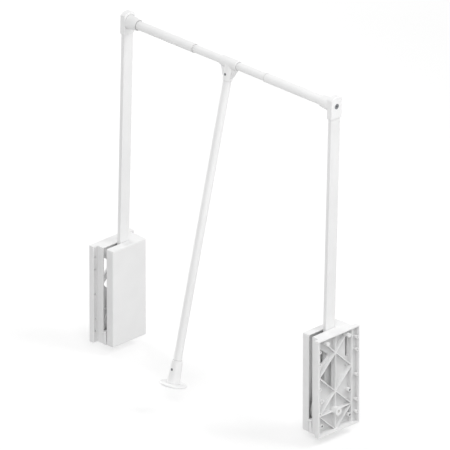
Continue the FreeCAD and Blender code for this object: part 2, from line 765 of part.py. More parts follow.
def build_rivets():
    """Two rivets that hold the drum on the arm."""
    rivets = []
    for index, up in enumerate(("rivet_first", "rivet_first + rivet_pitch")):
        head = f"({ARM_IN} + rivet_sink - seat_clearance)"
        rivet = turned(f"rivet_{index}", [
            (ARM_IN, "0"), (ARM_IN, "rivet_head_radius"), (head, "rivet_head_radius"),
            (head, "rivet_radius"), (f"{DRUM_BACK} + seat_clearance", "rivet_radius"),
            (f"{DRUM_BACK} + seat_clearance", "rivet_head_radius"),
            (f"{DRUM_BACK} + rivet_head_height", "rivet_radius"),
            (f"{DRUM_BACK} + rivet_head_height", "0")])
        place(rivet, at=("0", "0", up))
        rivets.append(rivet)
    pair = group("rivets", rivets)
    on_arm(pair)
    return keep(pair, "left_arm_rivets")


def build_bracket():
    """Moulded cap on the arm's top with a tapered collar that holds the rail."""
    body = new_body("bracket")
    half = "bracket_width / 2"
    low = "(arm_length - bracket_below)"
    outline = new_sketch(body, offset=BRACKET_OUT)
    side = value(half)
    bottom = value(low)
    crown = value("bracket_crown")
    centre = value("arm_length")
    shoulder = centre + math.sqrt(crown ** 2 - side ** 2)
    start = math.atan2(shoulder - centre, side)
    arch = Part.ArcOfCircle(Part.Circle(FreeCAD.Vector(0, centre, 0), FreeCAD.Vector(0, 0, 1), crown),
                            start, math.pi - start)
    outline.addGeometry([
        Part.LineSegment(FreeCAD.Vector(-side, bottom, 0), FreeCAD.Vector(side, bottom, 0)),
        Part.LineSegment(FreeCAD.Vector(side, bottom, 0), FreeCAD.Vector(side, shoulder, 0)),
        arch,
        Part.LineSegment(FreeCAD.Vector(-side, shoulder, 0), FreeCAD.Vector(-side, bottom, 0))])
    for line in range(4):
        outline.addConstraint(Sketcher.Constraint("Coincident", line, 2, (line + 1) % 4, 1))
    outline.addConstraint(Sketcher.Constraint("Vertical", 1))
    outline.addConstraint(Sketcher.Constraint("Vertical", 3))
    pin(outline, 0, 1, f"-{half}", low)
    pin(outline, 0, 2, half, low)
    pin(outline, 2, 3, "0", "arm_length")
    radius(outline, 2, "bracket_crown")
    pad(body, outline, "bracket_thickness")
    soften(body, "bracket_round", lambda edge: True)

    end = f"({BRACKET_IN} + collar_length)"
    collar = new_sketch(body, plane="XZ_Plane", rise="arm_length")
    polygon(collar, [(ARM_X, "0"), (ARM_X, "collar_root_radius - bracket_round"),
                     (BRACKET_IN, "collar_root_radius"), (end, "collar_end_radius"), (end, "0")])
    turn(body, collar)

    hollow(body, "-arm_width / 2 - seat_clearance", "arm_width / 2 + seat_clearance",
           f"{low} - 1", "arm_length + arm_overrun + stop_clearance",
           f"{ARM_OUT} + seat_clearance", "arm_thickness + 2 * seat_clearance")
    shank = "(bracket_screw_radius + 2 * seat_clearance)"
    mouth = "(outer_tube_radius + seat_clearance + collar_lead_in)"
    bore = new_sketch(body, plane="XZ_Plane", rise="arm_length")
    seat = f"({BRACKET_OUT} + bracket_screw_sink)"
    polygon(bore, [
        (f"{BRACKET_OUT} - 1", "0"), (f"{BRACKET_OUT} - 1", "bracket_screw_head + seat_clearance"),
        (seat, "bracket_screw_head + seat_clearance"),
        (f"{seat} + bracket_screw_cone", shank), (SOCKET_X, shank),
        (SOCKET_X, "outer_tube_radius + seat_clearance"),
        (f"{end} - collar_lead_in", "outer_tube_radius + seat_clearance"),
        (end, mouth), (f"{end} + 1", mouth), (f"{end} + 1", "0")])
    turn(body, bore, kind="PartDesign::Groove")
    on_arm(body)
    return keep(body, "left_bracket")


def build_arm():
    """All pieces that swing with the left arm, without the drum's spring."""
    build_arm_tube()
    build_drum()
    build_rivets()
    bush = tube("bush", f"{ARM_IN}", HUB_END, BEARING_RADIUS, BUSH_RADIUS)
    on_arm(bush)
    keep(bush, "left_pivot_bush")
    build_bracket()

    seat = f"({BRACKET_OUT} + bracket_screw_sink)"
    tip = f"({seat} + bracket_screw_length)"
    screw = turned("bracket_screw", [
        (seat, "0"), (seat, "bracket_screw_head - seat_clearance"),
        (f"{seat} + bracket_screw_cone - seat_clearance", "bracket_screw_radius"),
        (f"{tip} - bracket_screw_radius", "bracket_screw_radius"), (tip, "0")])
    recess = new_sketch(screw, offset=f"{seat} + hex_depth")
    hexagon(recess, "0", "0", "hex_recess")
    cut(screw, recess, "hex_depth + 1")
    on_rail(screw)
    keep(screw, "left_bracket_screw")

    outer = tube("outer_tube", TUBE_START, "outer_tube_end",
                 "outer_tube_radius - outer_tube_wall", "outer_tube_radius")
    on_rail(outer)
    keep(outer, "left_outer_tube")

    plug = tube("tube_plug", TUBE_START, f"{TUBE_START} + tube_plug_length",
                "bracket_screw_radius + seat_clearance",
                "outer_tube_radius - outer_tube_wall - seat_clearance")
    on_rail(plug)
    keep(plug, "left_tube_plug")

    bore = "(centre_tube_radius + running_clearance)"
    sleeve = "(outer_tube_radius - outer_tube_wall - seat_clearance)"
    glide = turned("glide_bush", [
        ("outer_tube_end - glide_length", bore), ("outer_tube_end + glide_flange", bore),
        ("outer_tube_end + glide_flange", "glide_flange_radius"),
        ("outer_tube_end + seat_clearance", "glide_flange_radius"),
        ("outer_tube_end + seat_clearance", sleeve), ("outer_tube_end - glide_length", sleeve)])
    soften(glide, "glide_flange / 4", lambda edge: near(edge.BoundBox.YLength / 2,
                                                        "glide_flange_radius"))
    on_rail(glide)
    keep(glide, "left_glide_bush")


# ---------------------------------------------------------------- centre tube and handle

def build_centre_tube():
    """Thin tube that slides in both outer tubes, with a guide plug in each end."""
    centre = tube("centre_tube", CENTRE_START, f"{CENTRE_START} + centre_tube_length",
                  "centre_tube_radius - centre_tube_wall", "centre_tube_radius")
    on_rail(centre)
    keep(centre, "centre_tube")
    plug = turned("centre_plug", [
        (f"{CENTRE_START} - centre_plug_rim", "0"),
        (f"{CENTRE_START} - centre_plug_rim", "centre_plug_radius"),
        (f"{CENTRE_START} - seat_clearance", "centre_plug_radius"),
        (f"{CENTRE_START} - seat_clearance", "centre_tube_radius - centre_tube_wall - seat_clearance"),
        (f"{CENTRE_START} + centre_plug_length",
         "centre_tube_radius - centre_tube_wall - seat_clearance"),
        (f"{CENTRE_START} + centre_plug_length", "0")])
    on_rail(plug)
    keep(plug, "left_centre_plug")


def build_tee():
    """Moulded tee that turns on the centre tube and holds the handle."""
    body = new_body("tee")
    half = "(tee_length / 2)"
    web = new_sketch(body, plane="XZ_Plane", offset="-tee_web / 2")
    polygon(web, [(f"-{half}", "0"), (f"-{half}", "-tee_web_shoulder"),
                  ("-tee_radius * 1.35", "-tee_neck * 0.72"), ("-tee_radius * 0.6", "-tee_neck"),
                  ("tee_radius * 0.6", "-tee_neck"), ("tee_radius * 1.35", "-tee_neck * 0.72"),
                  (half, "-tee_web_shoulder"), (half, "0")])
    pad(body, web, "tee_web")
    soften(body, "tee_web_round", lambda edge: edge.BoundBox.ZLength < 1e-4
           and near((edge.BoundBox.ZMin + edge.BoundBox.ZMax) / 2, "-tee_neck * 0.72")
           and edge.BoundBox.XLength < 1e-4)
    sleeve = new_sketch(body, offset=f"-{half}")
    circle(sleeve, "0", "0", "tee_radius")
    pad(body, sleeve, "tee_length")
    neck = new_sketch(body, plane="XY_Plane", offset="-tee_neck")
    circle(neck, "0", "0", "tee_radius")
    pad(body, neck, "tee_neck")
    soften(body, "edge_round", lambda edge: edge.Curve.TypeId == "Part::GeomCircle"
           and (near(abs(edge.BoundBox.Center.x), half) or flat_at(edge, "Z", "-tee_neck")))
    rail = new_sketch(body, offset=f"{half} + 1")
    circle(rail, "0", "0", "centre_tube_radius + running_clearance")
    cut(body, rail, "tee_length + 2")
    socket = new_sketch(body, plane="XY_Plane", offset="-tee_socket_start")
    circle(socket, "0", "0", "handle_tube_radius + seat_clearance")
    cut(body, socket, "tee_neck")
    screw_bore(body, "tee_screw_drop", "tee_radius")
    on_handle(body)
    return keep(body, "handle_tee")


def screw_bore(body, drop, surface):
    """Drill the countersunk hole of a handle screw into the front of a socket."""
    bore = new_sketch(body, plane="XY_Plane", offset=f"-{drop}")
    shank = "(handle_screw_radius + seat_clearance)"
    head = "(handle_screw_head + seat_clearance)"
    seat = f"(-{surface})"
    polygon(bore, [("0", f"{seat} - 2"), (head, f"{seat} - 2"), (head, f"{seat} + handle_screw_sink"),
                   (shank, f"{seat} + handle_screw_sink + handle_screw_cone"),
                   (shank, "-handle_tube_radius / 2"),
                   ("0", "-handle_tube_radius / 2")])
    turn(body, bore, kind="PartDesign::Groove", axis="V_Axis")


def build_handle_tube():
    """Long tube of the pull handle."""
    body = new_body("handle_tube")
    start = "(tee_socket_start + seat_clearance)"
    end = "(foot_end - foot_floor - seat_clearance)"
    sketch = new_sketch(body, plane="XY_Plane", offset=f"-{end}")
    circle(sketch, "0", "0", "handle_tube_radius")
    circle(sketch, "0", "0", "handle_tube_radius - handle_tube_wall")
    pad(body, sketch, f"{end} - {start}")
    for drop in ("tee_screw_drop", "foot_screw_drop"):
        hole = new_sketch(body, plane="XZ_Plane")
        circle(hole, "0", f"-{drop}", "handle_screw_radius + seat_clearance")
        cut(body, hole, "handle_tube_radius + 1", along_normal=True)
    on_handle(body)
    return keep(body, "handle_tube")


def build_foot():
    """Round grip foot at the lower end of the handle."""
    body = new_body("foot")
    sketch = new_sketch(body, plane="XZ_Plane")
    polygon(sketch, [("0", "-foot_start"), ("foot_top_radius", "-foot_start"),
                     ("foot_root_radius", "-foot_end"), ("foot_disc_radius", "-foot_end"),
                     ("foot_disc_radius", "-foot_end - foot_disc_thickness"),
                     ("0", "-foot_end - foot_disc_thickness")])
    turn(body, sketch, axis="V_Axis")
    soften(body, "foot_disc_round", lambda edge: near(edge.BoundBox.XLength / 2, "foot_disc_radius"))
    soften(body, "edge_round", lambda edge: near(edge.BoundBox.XLength / 2, "foot_top_radius"))
    bore = new_sketch(body, plane="XY_Plane", offset="-foot_start")
    circle(bore, "0", "0", "handle_tube_radius + seat_clearance")
    cut(body, bore, "foot_end - foot_start - foot_floor")
    share = "((foot_screw_drop - foot_start) / (foot_end - foot_start))"
    screw_bore(body, "foot_screw_drop",
               f"(foot_top_radius + (foot_root_radius - foot_top_radius) * {share})")
    on_handle(body)
    return keep(body, "handle_foot")


def build_handle():
    """Tee, tube, foot and their two screws."""
    build_tee()
    build_handle_tube()
    build_foot()
    share = "((foot_screw_drop - foot_start) / (foot_end - foot_start))"
    foot_surface = f"(foot_top_radius + (foot_root_radius - foot_top_radius) * {share})"
    screws = []
    for index, (drop, surface) in enumerate((("tee_screw_drop", "tee_radius"),
                                             ("foot_screw_drop", foot_surface))):
        screw = turned(f"handle_screw_{index}", [
            ("handle_screw_sink", "0"),
            ("handle_screw_sink", "handle_screw_head - seat_clearance"),
            ("handle_screw_sink + handle_screw_cone - seat_clearance", "handle_screw_radius"),
            ("handle_screw_length", "handle_screw_radius"), ("handle_screw_length", "0")])
        recess = new_sketch(screw, offset="handle_screw_sink + handle_screw_cone")
        hexagon(recess, "0", "0", "handle_screw_radius * 0.7")
        cut(screw, recess, "handle_screw_cone + 1")
        place(screw, at=("0", f"-{surface}", f"-{drop}"), axis=FreeCAD.Vector(0, 0, 1), angle="90")
        screws.append(screw)
    pair = group("handle_screws", screws)
    on_handle(pair)
    keep(pair, "handle_screws")


# ---------------------------------------------------------------- assembly

def mirror_to_right(item):
    """Make the right-hand twin of a left-hand sub-part."""
    twin = doc.addObject("Part::Mirroring", f"right_{item.Name}")
    twin.Source = item
    twin.Normal = FreeCAD.Vector(1, 0, 0)
    bind(twin, "Base.x", "span / 2")
    doc.recompute()
    return keep(twin, item.Label.replace("left_", "right_"))


def check_document():
    """Stop if any object has failed or any sub-part has no valid solid."""
    doc.recompute()
    for item in doc.Objects:
        if "Invalid" in item.State or "Error" in item.State:
            raise RuntimeError(f"{item.Name} ({item.Label}) failed: {item.State}")
    for item in parts:
        if item.Shape.isNull() or not item.Shape.isValid() or not item.Shape.Solids:
            raise RuntimeError(f"{item.Label} has no valid solid")


build_housing()
build_spring()
build_arm()
build_centre_tube()
for piece in [item for item in parts if item.Label != "left_lower_stop"
              and item.Label.startswith("left_")]:
    mirror_to_right(piece)
build_lower_stop("right_stop", "right_lower_stop",
                 "(span - base_thickness - stop_clearance - stop_width)")
build_handle()
check_document()

os.makedirs("parts", exist_ok=True)
for piece in parts:
    piece.Shape.exportStep(f"parts/{piece.Label}.step")
    print(f"{piece.Label:24s} solids {len(piece.Shape.Solids)} volume {piece.Shape.Volume:12.1f}")
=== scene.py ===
"""Looks of a pull-down closet rod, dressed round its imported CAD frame.

Everything is in metres in the frame of the CAD model: x runs along the rail from the left wall
plane, y points to the back of the wardrobe and z is up. The CAD nodes carry the shapes of the
mouldings and tubes. The springs, screws, rivets and buffers are modelled here in their full detail.
"""

import json
import logging
import math
from dataclasses import dataclass
from enum import Enum
from typing import Any, Callable, Iterable

import bmesh
import bpy
from mathutils import Matrix, Vector

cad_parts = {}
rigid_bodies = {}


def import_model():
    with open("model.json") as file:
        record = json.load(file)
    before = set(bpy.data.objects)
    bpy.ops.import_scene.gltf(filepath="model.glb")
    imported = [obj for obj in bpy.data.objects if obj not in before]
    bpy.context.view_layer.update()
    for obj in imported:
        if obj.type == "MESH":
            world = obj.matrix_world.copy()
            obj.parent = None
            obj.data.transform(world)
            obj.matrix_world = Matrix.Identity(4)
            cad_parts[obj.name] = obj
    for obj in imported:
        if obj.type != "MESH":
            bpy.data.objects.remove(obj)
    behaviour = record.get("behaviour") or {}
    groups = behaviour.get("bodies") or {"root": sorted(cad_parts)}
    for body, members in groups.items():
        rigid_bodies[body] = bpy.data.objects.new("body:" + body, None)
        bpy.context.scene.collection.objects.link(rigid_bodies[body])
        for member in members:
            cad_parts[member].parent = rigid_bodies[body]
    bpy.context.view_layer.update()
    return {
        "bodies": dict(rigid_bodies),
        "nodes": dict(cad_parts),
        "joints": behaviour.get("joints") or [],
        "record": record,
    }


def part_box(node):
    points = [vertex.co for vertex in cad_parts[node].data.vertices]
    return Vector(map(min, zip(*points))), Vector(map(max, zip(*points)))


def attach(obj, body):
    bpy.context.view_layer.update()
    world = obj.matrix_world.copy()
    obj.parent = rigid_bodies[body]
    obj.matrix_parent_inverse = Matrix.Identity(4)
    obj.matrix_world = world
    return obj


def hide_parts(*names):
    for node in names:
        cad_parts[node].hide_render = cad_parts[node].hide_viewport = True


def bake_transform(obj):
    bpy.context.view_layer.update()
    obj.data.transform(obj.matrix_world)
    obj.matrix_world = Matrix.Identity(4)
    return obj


LOG = logging.getLogger("closet_rod")
MM = 0.001
FULL_TURN = 2 * math.pi
QUARTER_TURN = math.pi / 2
MERGE_DISTANCE = 1e-7
FLAT_TOLERANCE = 1e-6
SHARP_ANGLE = math.radians(35)
Z_ONTO_X = Matrix.Rotation(math.radians(120), 4, Vector((1, 1, 1)))
DOME_ANGLES = tuple(math.radians(angle) for angle in range(0, 91, 15))
UNIT_RANGE = (0.0, 1.0)
WHITE = (1.0, 1.0, 1.0, 1.0)
BEVEL_SAMPLES = 6
CREVICE_SAMPLES = 8

Shape = bmesh.types.BMesh
Tree = bpy.types.NodeTree
Colour = tuple[float, float, float]
Socket = Any


class Side(Enum):
    """One of the two mirrored halves."""

    LEFT = "left"
    RIGHT = "right"

    def name_of(self, part: str) -> str:
        """Return the name of this half's node or body."""
        return f"{self.value}_{part}"


class Slot(Enum):
    """The material slots of the record."""

    BASE = "moulded_base"
    COVER = "moulded_cover"
    BRACKET = "moulded_bracket"
    FOOT = "moulded_foot"
    STOP = "stop_plastic"
    BUSH = "bush_plastic"
    BUFFER = "buffer_rubber"
    ARM = "painted_arm"
    RAIL = "painted_rail"
    DRUM = "painted_drum"
    PLATED = "plated_steel"
    DARK = "dark_steel"
    SPRING = "spring_steel"


class Drive(Enum):
    """The recess in a screw's head."""

    HEXAGON = "hexagon"
    CROSS = "cross"


# ---------------------------------------------------------------- the frame's own places


@dataclass(frozen=True)
class Layout:
    """Places that the pieces share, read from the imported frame.

    Attributes:
        span: Distance between the two wall planes.
        pivot: Pivot of the left arm.
        rail: Middle of the rail's axis, where the handle hangs.
        lean: Angle of the resting arms from upright, towards the back.
        handle_lean: Angle of the resting handle from upright, towards the front.
    """

    span: float
    pivot: Vector
    rail: Vector
    lean: float
    handle_lean: float

    @classmethod
    def from_frame(cls, frame: dict[str, Any]) -> "Layout":
        """Read the layout from the frame's joints and nodes.


        Returns:
            The layout of this object.
        """
        joints = {joint["name"]: joint for joint in frame["joints"]}
        pivot = Vector(joints["lift"]["pos_m"])
        rail = Vector(joints["handle_swing"]["pos_m"])
        low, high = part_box("handle_tube")
        tube = (Vector(low) + Vector(high)) / 2
        return cls(span=2 * rail.x, pivot=pivot, rail=rail,
                   lean=math.atan2(rail.y - pivot.y, rail.z - pivot.z),
                   handle_lean=math.atan2(rail.y - tube.y, rail.z - tube.z))

    def on_arm(self) -> Matrix:
        """Return the place of things modelled round the left pivot with the arm upright."""
        lift = Matrix.Translation((0, self.pivot.y, self.pivot.z))
        return lift @ Matrix.Rotation(-self.lean, 4, "X")

    def on_handle(self) -> Matrix:
        """Return the place of things modelled from the rail's axis with the handle upright."""
        return Matrix.Translation(self.rail) @ Matrix.Rotation(-self.handle_lean, 4, "X")

    def to_side(self, side: Side) -> Matrix:
        """Return the mirror that brings a left-hand shape to a side.

        Args:
            side: The half that the shape goes to.

        Returns:
            The identity for the left half, and a mirror about the rail's middle for the right.
        """
        if side is Side.LEFT:
            return Matrix.Identity(4)
        return Matrix.Translation((self.span, 0, 0)) @ Matrix.Diagonal((-1, 1, 1, 1))


# ---------------------------------------------------------------- mesh helpers


def lathe(shape: Shape, profile: Iterable[tuple[float, float]], steps: int) -> None:
    """Turn a profile about the x axis.

    Args:
        shape: The mesh to add to.
        profile: Corners as distance along x and radius.
        steps: Segments in the full turn.
    """
    points = [shape.verts.new((along, radius, 0)) for along, radius in profile]
    lines = [shape.edges.new(pair) for pair in zip(points, points[1:])]
    bmesh.ops.spin(shape, geom=points + lines, cent=(0, 0, 0), axis=(1, 0, 0), dvec=(0, 0, 0),
                   angle=FULL_TURN, steps=steps, use_merge=True)
    bmesh.ops.remove_doubles(shape, verts=shape.verts, dist=MERGE_DISTANCE)


def open_edges(shape: Shape) -> list[bmesh.types.BMEdge]:
    """Return the edges that have only one face or none."""
    return [edge for edge in shape.edges if len(edge.link_faces) < 2]


def soften_edges(shape: Shape, edges: Iterable[bmesh.types.BMEdge], size: float,
                 segments: int = 2) -> None:
    """Bevel some edges of a mesh.

    Args:
        shape: The mesh.
        edges: The edges to round.
        size: Width of the rounding.
        segments: Number of faces across it.
    """
    bmesh.ops.bevel(shape, geom=list(edges), offset=size, offset_type="OFFSET", affect="EDGES",
                    segments=segments, profile=0.5, material=-1, clamp_overlap=True)


def copy_to(shape: Shape, places: Iterable[Matrix]) -> Shape:
    """Copy a shape to several places.

    Args:
        shape: The mesh to copy; it is freed.
        places: Where each copy goes.

    Returns:
        One mesh with all copies.
    """
    template = bpy.data.meshes.new("template")
    shape.to_mesh(template)
    shape.free()
    result = bmesh.new()
    for place in places:
        moved = template.copy()
        moved.transform(place)
        result.from_mesh(moved)
        bpy.data.meshes.remove(moved)
    bpy.data.meshes.remove(template)
    return result


def finish_piece(name: str, shape: Shape) -> bpy.types.Object:
    """Turn a finished bmesh into an object at the origin.

    Args:
        name: Name of the piece.
        shape: The mesh, in the frame's coordinates; it is freed.

    Returns:
        The new object, with its normals outwards.
    """
    bmesh.ops.remove_doubles(shape, verts=shape.verts, dist=MERGE_DISTANCE)
    bmesh.ops.recalc_face_normals(shape, faces=shape.faces)
    mesh = bpy.data.meshes.new(name)
    shape.to_mesh(mesh)
    shape.free()
    piece = bpy.data.objects.new(name, mesh)
    bpy.context.scene.collection.objects.link(piece)
    mesh.shade_smooth()
    mesh.set_sharp_from_angle(angle=SHARP_ANGLE)
    LOG.info("built %s: %d faces", name, len(mesh.polygons))
    return piece


# ---------------------------------------------------------------- shader groups


def new_group(name: str, inputs: Iterable[tuple[str, str, Any]],
              outputs: Iterable[tuple[str, str]]) -> tuple[Tree, bpy.types.Node, bpy.types.Node]:
    """Start a shader node group.

    Args:
        name: Name of the group.
        inputs: Name, socket type and default value of each input.
        outputs: Name and socket type of each output.

    Returns:
        The group, its input node and its output node.
    """
    tree = bpy.data.node_groups.new(name, "ShaderNodeTree")
    for label, kind, default in inputs:
        socket = tree.interface.new_socket(name=label, in_out="INPUT", socket_type=kind)
        socket.default_value = default
    for label, kind in outputs:
        tree.interface.new_socket(name=label, in_out="OUTPUT", socket_type=kind)
    return tree, tree.nodes.new("NodeGroupInput"), tree.nodes.new("NodeGroupOutput")


def feed(tree: Tree, value: Socket | float, target: Socket) -> None:
    """Give a socket a number, or a link from another socket.

    Args:
        tree: The nodes to work in.
        value: The number or the other socket.
        target: The socket that takes it.
    """
    if isinstance(value, (int, float)):
        target.default_value = value
    else:
        tree.links.new(value, target)


def noise(tree: Tree, vector: Socket, scale: Socket | float, detail: float,
          roughness: float = 0.5) -> Socket:
    """Add a noise texture.

    Args:
        tree: The nodes to work in.
        vector: The place that it reads.
        scale: Its features per metre.
        detail: Its number of finer layers.
        roughness: How strong these are.

    Returns:
        Its value.
    """
    node = tree.nodes.new("ShaderNodeTexNoise")
    node.inputs["Detail"].default_value = detail
    node.inputs["Roughness"].default_value = roughness
    tree.links.new(vector, node.inputs["Vector"])
    feed(tree, scale, node.inputs["Scale"])
    return node.outputs["Fac"]


def remap(tree: Tree, value: Socket, span: tuple[float, float],
          to: tuple[float, float]) -> Socket:
    """Stretch a value from one range to another, and hold it there.

    Args:
        tree: The nodes to work in.
        value: The value to stretch.
        span: The range that it is taken from.
        to: The range that it is brought to.

    Returns:
        The new value.
    """
    node = tree.nodes.new("ShaderNodeMapRange")
    limits = ("From Min", "From Max", "To Min", "To Max")
    for label, number in zip(limits, (*span, *to)):
        node.inputs[label].default_value = number
    tree.links.new(value, node.inputs["Value"])
    return node.outputs["Result"]


def arithmetic(tree: Tree, operation: str, first: Socket | float,
               second: Socket | float) -> Socket:
    """Combine two values.

    Args:
        tree: The nodes to work in.
        operation: Blender's name of the operation.
        first: The first value or number.
        second: The second value or number.

    Returns:
        The result.
    """
    node = tree.nodes.new("ShaderNodeMath")
    node.operation = operation
    feed(tree, first, node.inputs[0])
    feed(tree, second, node.inputs[1])
    return node.outputs["Value"]


def product(tree: Tree, first: Socket, *others: Socket | float) -> Socket:
    """Multiply a value by one or more others, in their order.

    Args:
        tree: The nodes to work in.
        first: The first value.
        others: What it is multiplied by.

    Returns:
        The result.
    """
    for factor in others:
        first = arithmetic(tree, "MULTIPLY", first, factor)
    return first


def scaled(tree: Tree, vector: Socket, factors: Socket) -> Socket:
    """Multiply a vector by another, axis by axis.

    Args:
        tree: The nodes to work in.
        vector: The vector.
        factors: Its factors along x, y and z.

    Returns:
        The new vector.
    """
    node = tree.nodes.new("ShaderNodeVectorMath")
    node.operation = "MULTIPLY"
    tree.links.new(vector, node.inputs[0])
    tree.links.new(factors, node.inputs[1])
    return node.outputs["Vector"]


def blended(tree: Tree, factor: Socket, first: Socket | Colour, second: Colour) -> Socket:
    """Mix two colours.

    Args:
        tree: The nodes to work in.
        factor: 0 for the first colour and 1 for the second.
        first: The first colour, as a colour or a socket.
        second: The second colour.

    Returns:
        The mixed colour.
    """
    node = tree.nodes.new("ShaderNodeMix")
    node.data_type = "RGBA"
    tree.links.new(factor, node.inputs["Factor"])
    if isinstance(first, tuple):
        node.inputs["A"].default_value = (*first, 1.0)
    else:
        tree.links.new(first, node.inputs["A"])
    node.inputs["B"].default_value = (*second, 1.0)
    return node.outputs["Result"]


def grain_group() -> Tree:
    """Build the group for the grain of a moulded, painted or plated surface.

    Returns:
        A group with the inputs Grain Size and Cloud Size, in metres, and Stretch, and the
        outputs Height, for a bump, and Cloud, a slow variation between 0 and 1.
    """
    tree, source, sink = new_group(
        "surface_grain",
        (("Grain Size", "NodeSocketFloat", 0.4 * MM), ("Cloud Size", "NodeSocketFloat", 60 * MM),
         ("Stretch", "NodeSocketVector", (1.0, 1.0, 1.0))),
        (("Height", "NodeSocketFloat"), ("Cloud", "NodeSocketFloat")))
    broad_scale = 0.22
    fine_weight, broad_weight = 0.7, 0.3
    cloud_span = (0.3, 0.7)
    place = tree.nodes.new("ShaderNodeTexCoord").outputs["Object"]
    drawn = scaled(tree, place, source.outputs["Stretch"])
    fine = arithmetic(tree, "DIVIDE", 1.0, source.outputs["Grain Size"])
    slow = arithmetic(tree, "DIVIDE", 1.0, source.outputs["Cloud Size"])
    grain = noise(tree, drawn, fine, detail=3.0, roughness=0.6)
    broad = noise(tree, drawn, product(tree, fine, broad_scale), detail=1.0)
    height = arithmetic(tree, "ADD", product(tree, grain, fine_weight),
                        product(tree, broad, broad_weight))
    tree.links.new(height, sink.inputs["Height"])
    cloud = remap(tree, noise(tree, place, slow, detail=2.0), cloud_span, UNIT_RANGE)
    tree.links.new(cloud, sink.inputs["Cloud"])
    return tree


def pore_group() -> Tree:
    """Build the group for the fine pits that spark erosion leaves in a mould.

    Returns:
        A group with the input Size, in metres, and the output Height, 0 in a pit and 1 between.
    """
    tree, source, sink = new_group("mould_pores", (("Size", "NodeSocketFloat", 0.8 * MM),),
                                   (("Height", "NodeSocketFloat"),))
    pit_span = (0.05, 0.5)
    cells = tree.nodes.new("ShaderNodeTexVoronoi")
    cells.feature = "SMOOTH_F1"
    cells.inputs["Smoothness"].default_value = 0.6
    tree.links.new(tree.nodes.new("ShaderNodeTexCoord").outputs["Object"], cells.inputs["Vector"])
    feed(tree, arithmetic(tree, "DIVIDE", 1.0, source.outputs["Size"]), cells.inputs["Scale"])
    height = remap(tree, cells.outputs["Distance"], pit_span, UNIT_RANGE)
    tree.links.new(height, sink.inputs["Height"])
    return tree


def edge_group() -> Tree:
    """Build the group that rounds sharp edges in the shading and marks them for a painted
    highlight.

    Returns:
        A group with the input Radius, in metres, and the outputs Normal, the softened normal,
        and Edge, a mask that is 1 on a sharp edge.
    """
    tree, source, sink = new_group("soft_edges", (("Radius", "NodeSocketFloat", 0.5 * MM),),
                                   (("Normal", "NodeSocketVector"), ("Edge", "NodeSocketFloat")))
    turn_span = (1.0, 0.86)
    bevel = tree.nodes.new("ShaderNodeBevel")
    bevel.samples = BEVEL_SAMPLES
    tree.links.new(source.outputs["Radius"], bevel.inputs["Radius"])
    flat = tree.nodes.new("ShaderNodeNewGeometry")
    turn = tree.nodes.new("ShaderNodeVectorMath")
    turn.operation = "DOT_PRODUCT"
    tree.links.new(bevel.outputs["Normal"], turn.inputs[0])
    tree.links.new(flat.outputs["Normal"], turn.inputs[1])
    tree.links.new(bevel.outputs["Normal"], sink.inputs["Normal"])
    edge = remap(tree, turn.outputs["Value"], turn_span, UNIT_RANGE)
    tree.links.new(edge, sink.inputs["Edge"])
    return tree


def rub_group() -> Tree:
    """Build the group for faint rub marks that run along one axis.

    Returns:
        A group with the inputs Stretch, small along the marks, and Amount, and the output Mask.
    """
    tree, source, sink = new_group(
        "rub_marks",
        (("Stretch", "NodeSocketVector", (1.0, 1.0, 1.0)), ("Amount", "NodeSocketFloat", 0.5)),
        (("Mask", "NodeSocketFloat"),))
    line_size, line_span = 1.4 * MM, (0.60, 0.74)
    patch_size, patch_span = 45 * MM, (0.48, 0.66)
    place = tree.nodes.new("ShaderNodeTexCoord").outputs["Object"]
    drawn = scaled(tree, place, source.outputs["Stretch"])
    lines = remap(tree, noise(tree, drawn, 1 / line_size, detail=2.0), line_span, UNIT_RANGE)
    patches = remap(tree, noise(tree, place, 1 / patch_size, detail=2.0), patch_span, UNIT_RANGE)
    mask = product(tree, lines, patches, source.outputs["Amount"])
    tree.links.new(mask, sink.inputs["Mask"])
    return tree


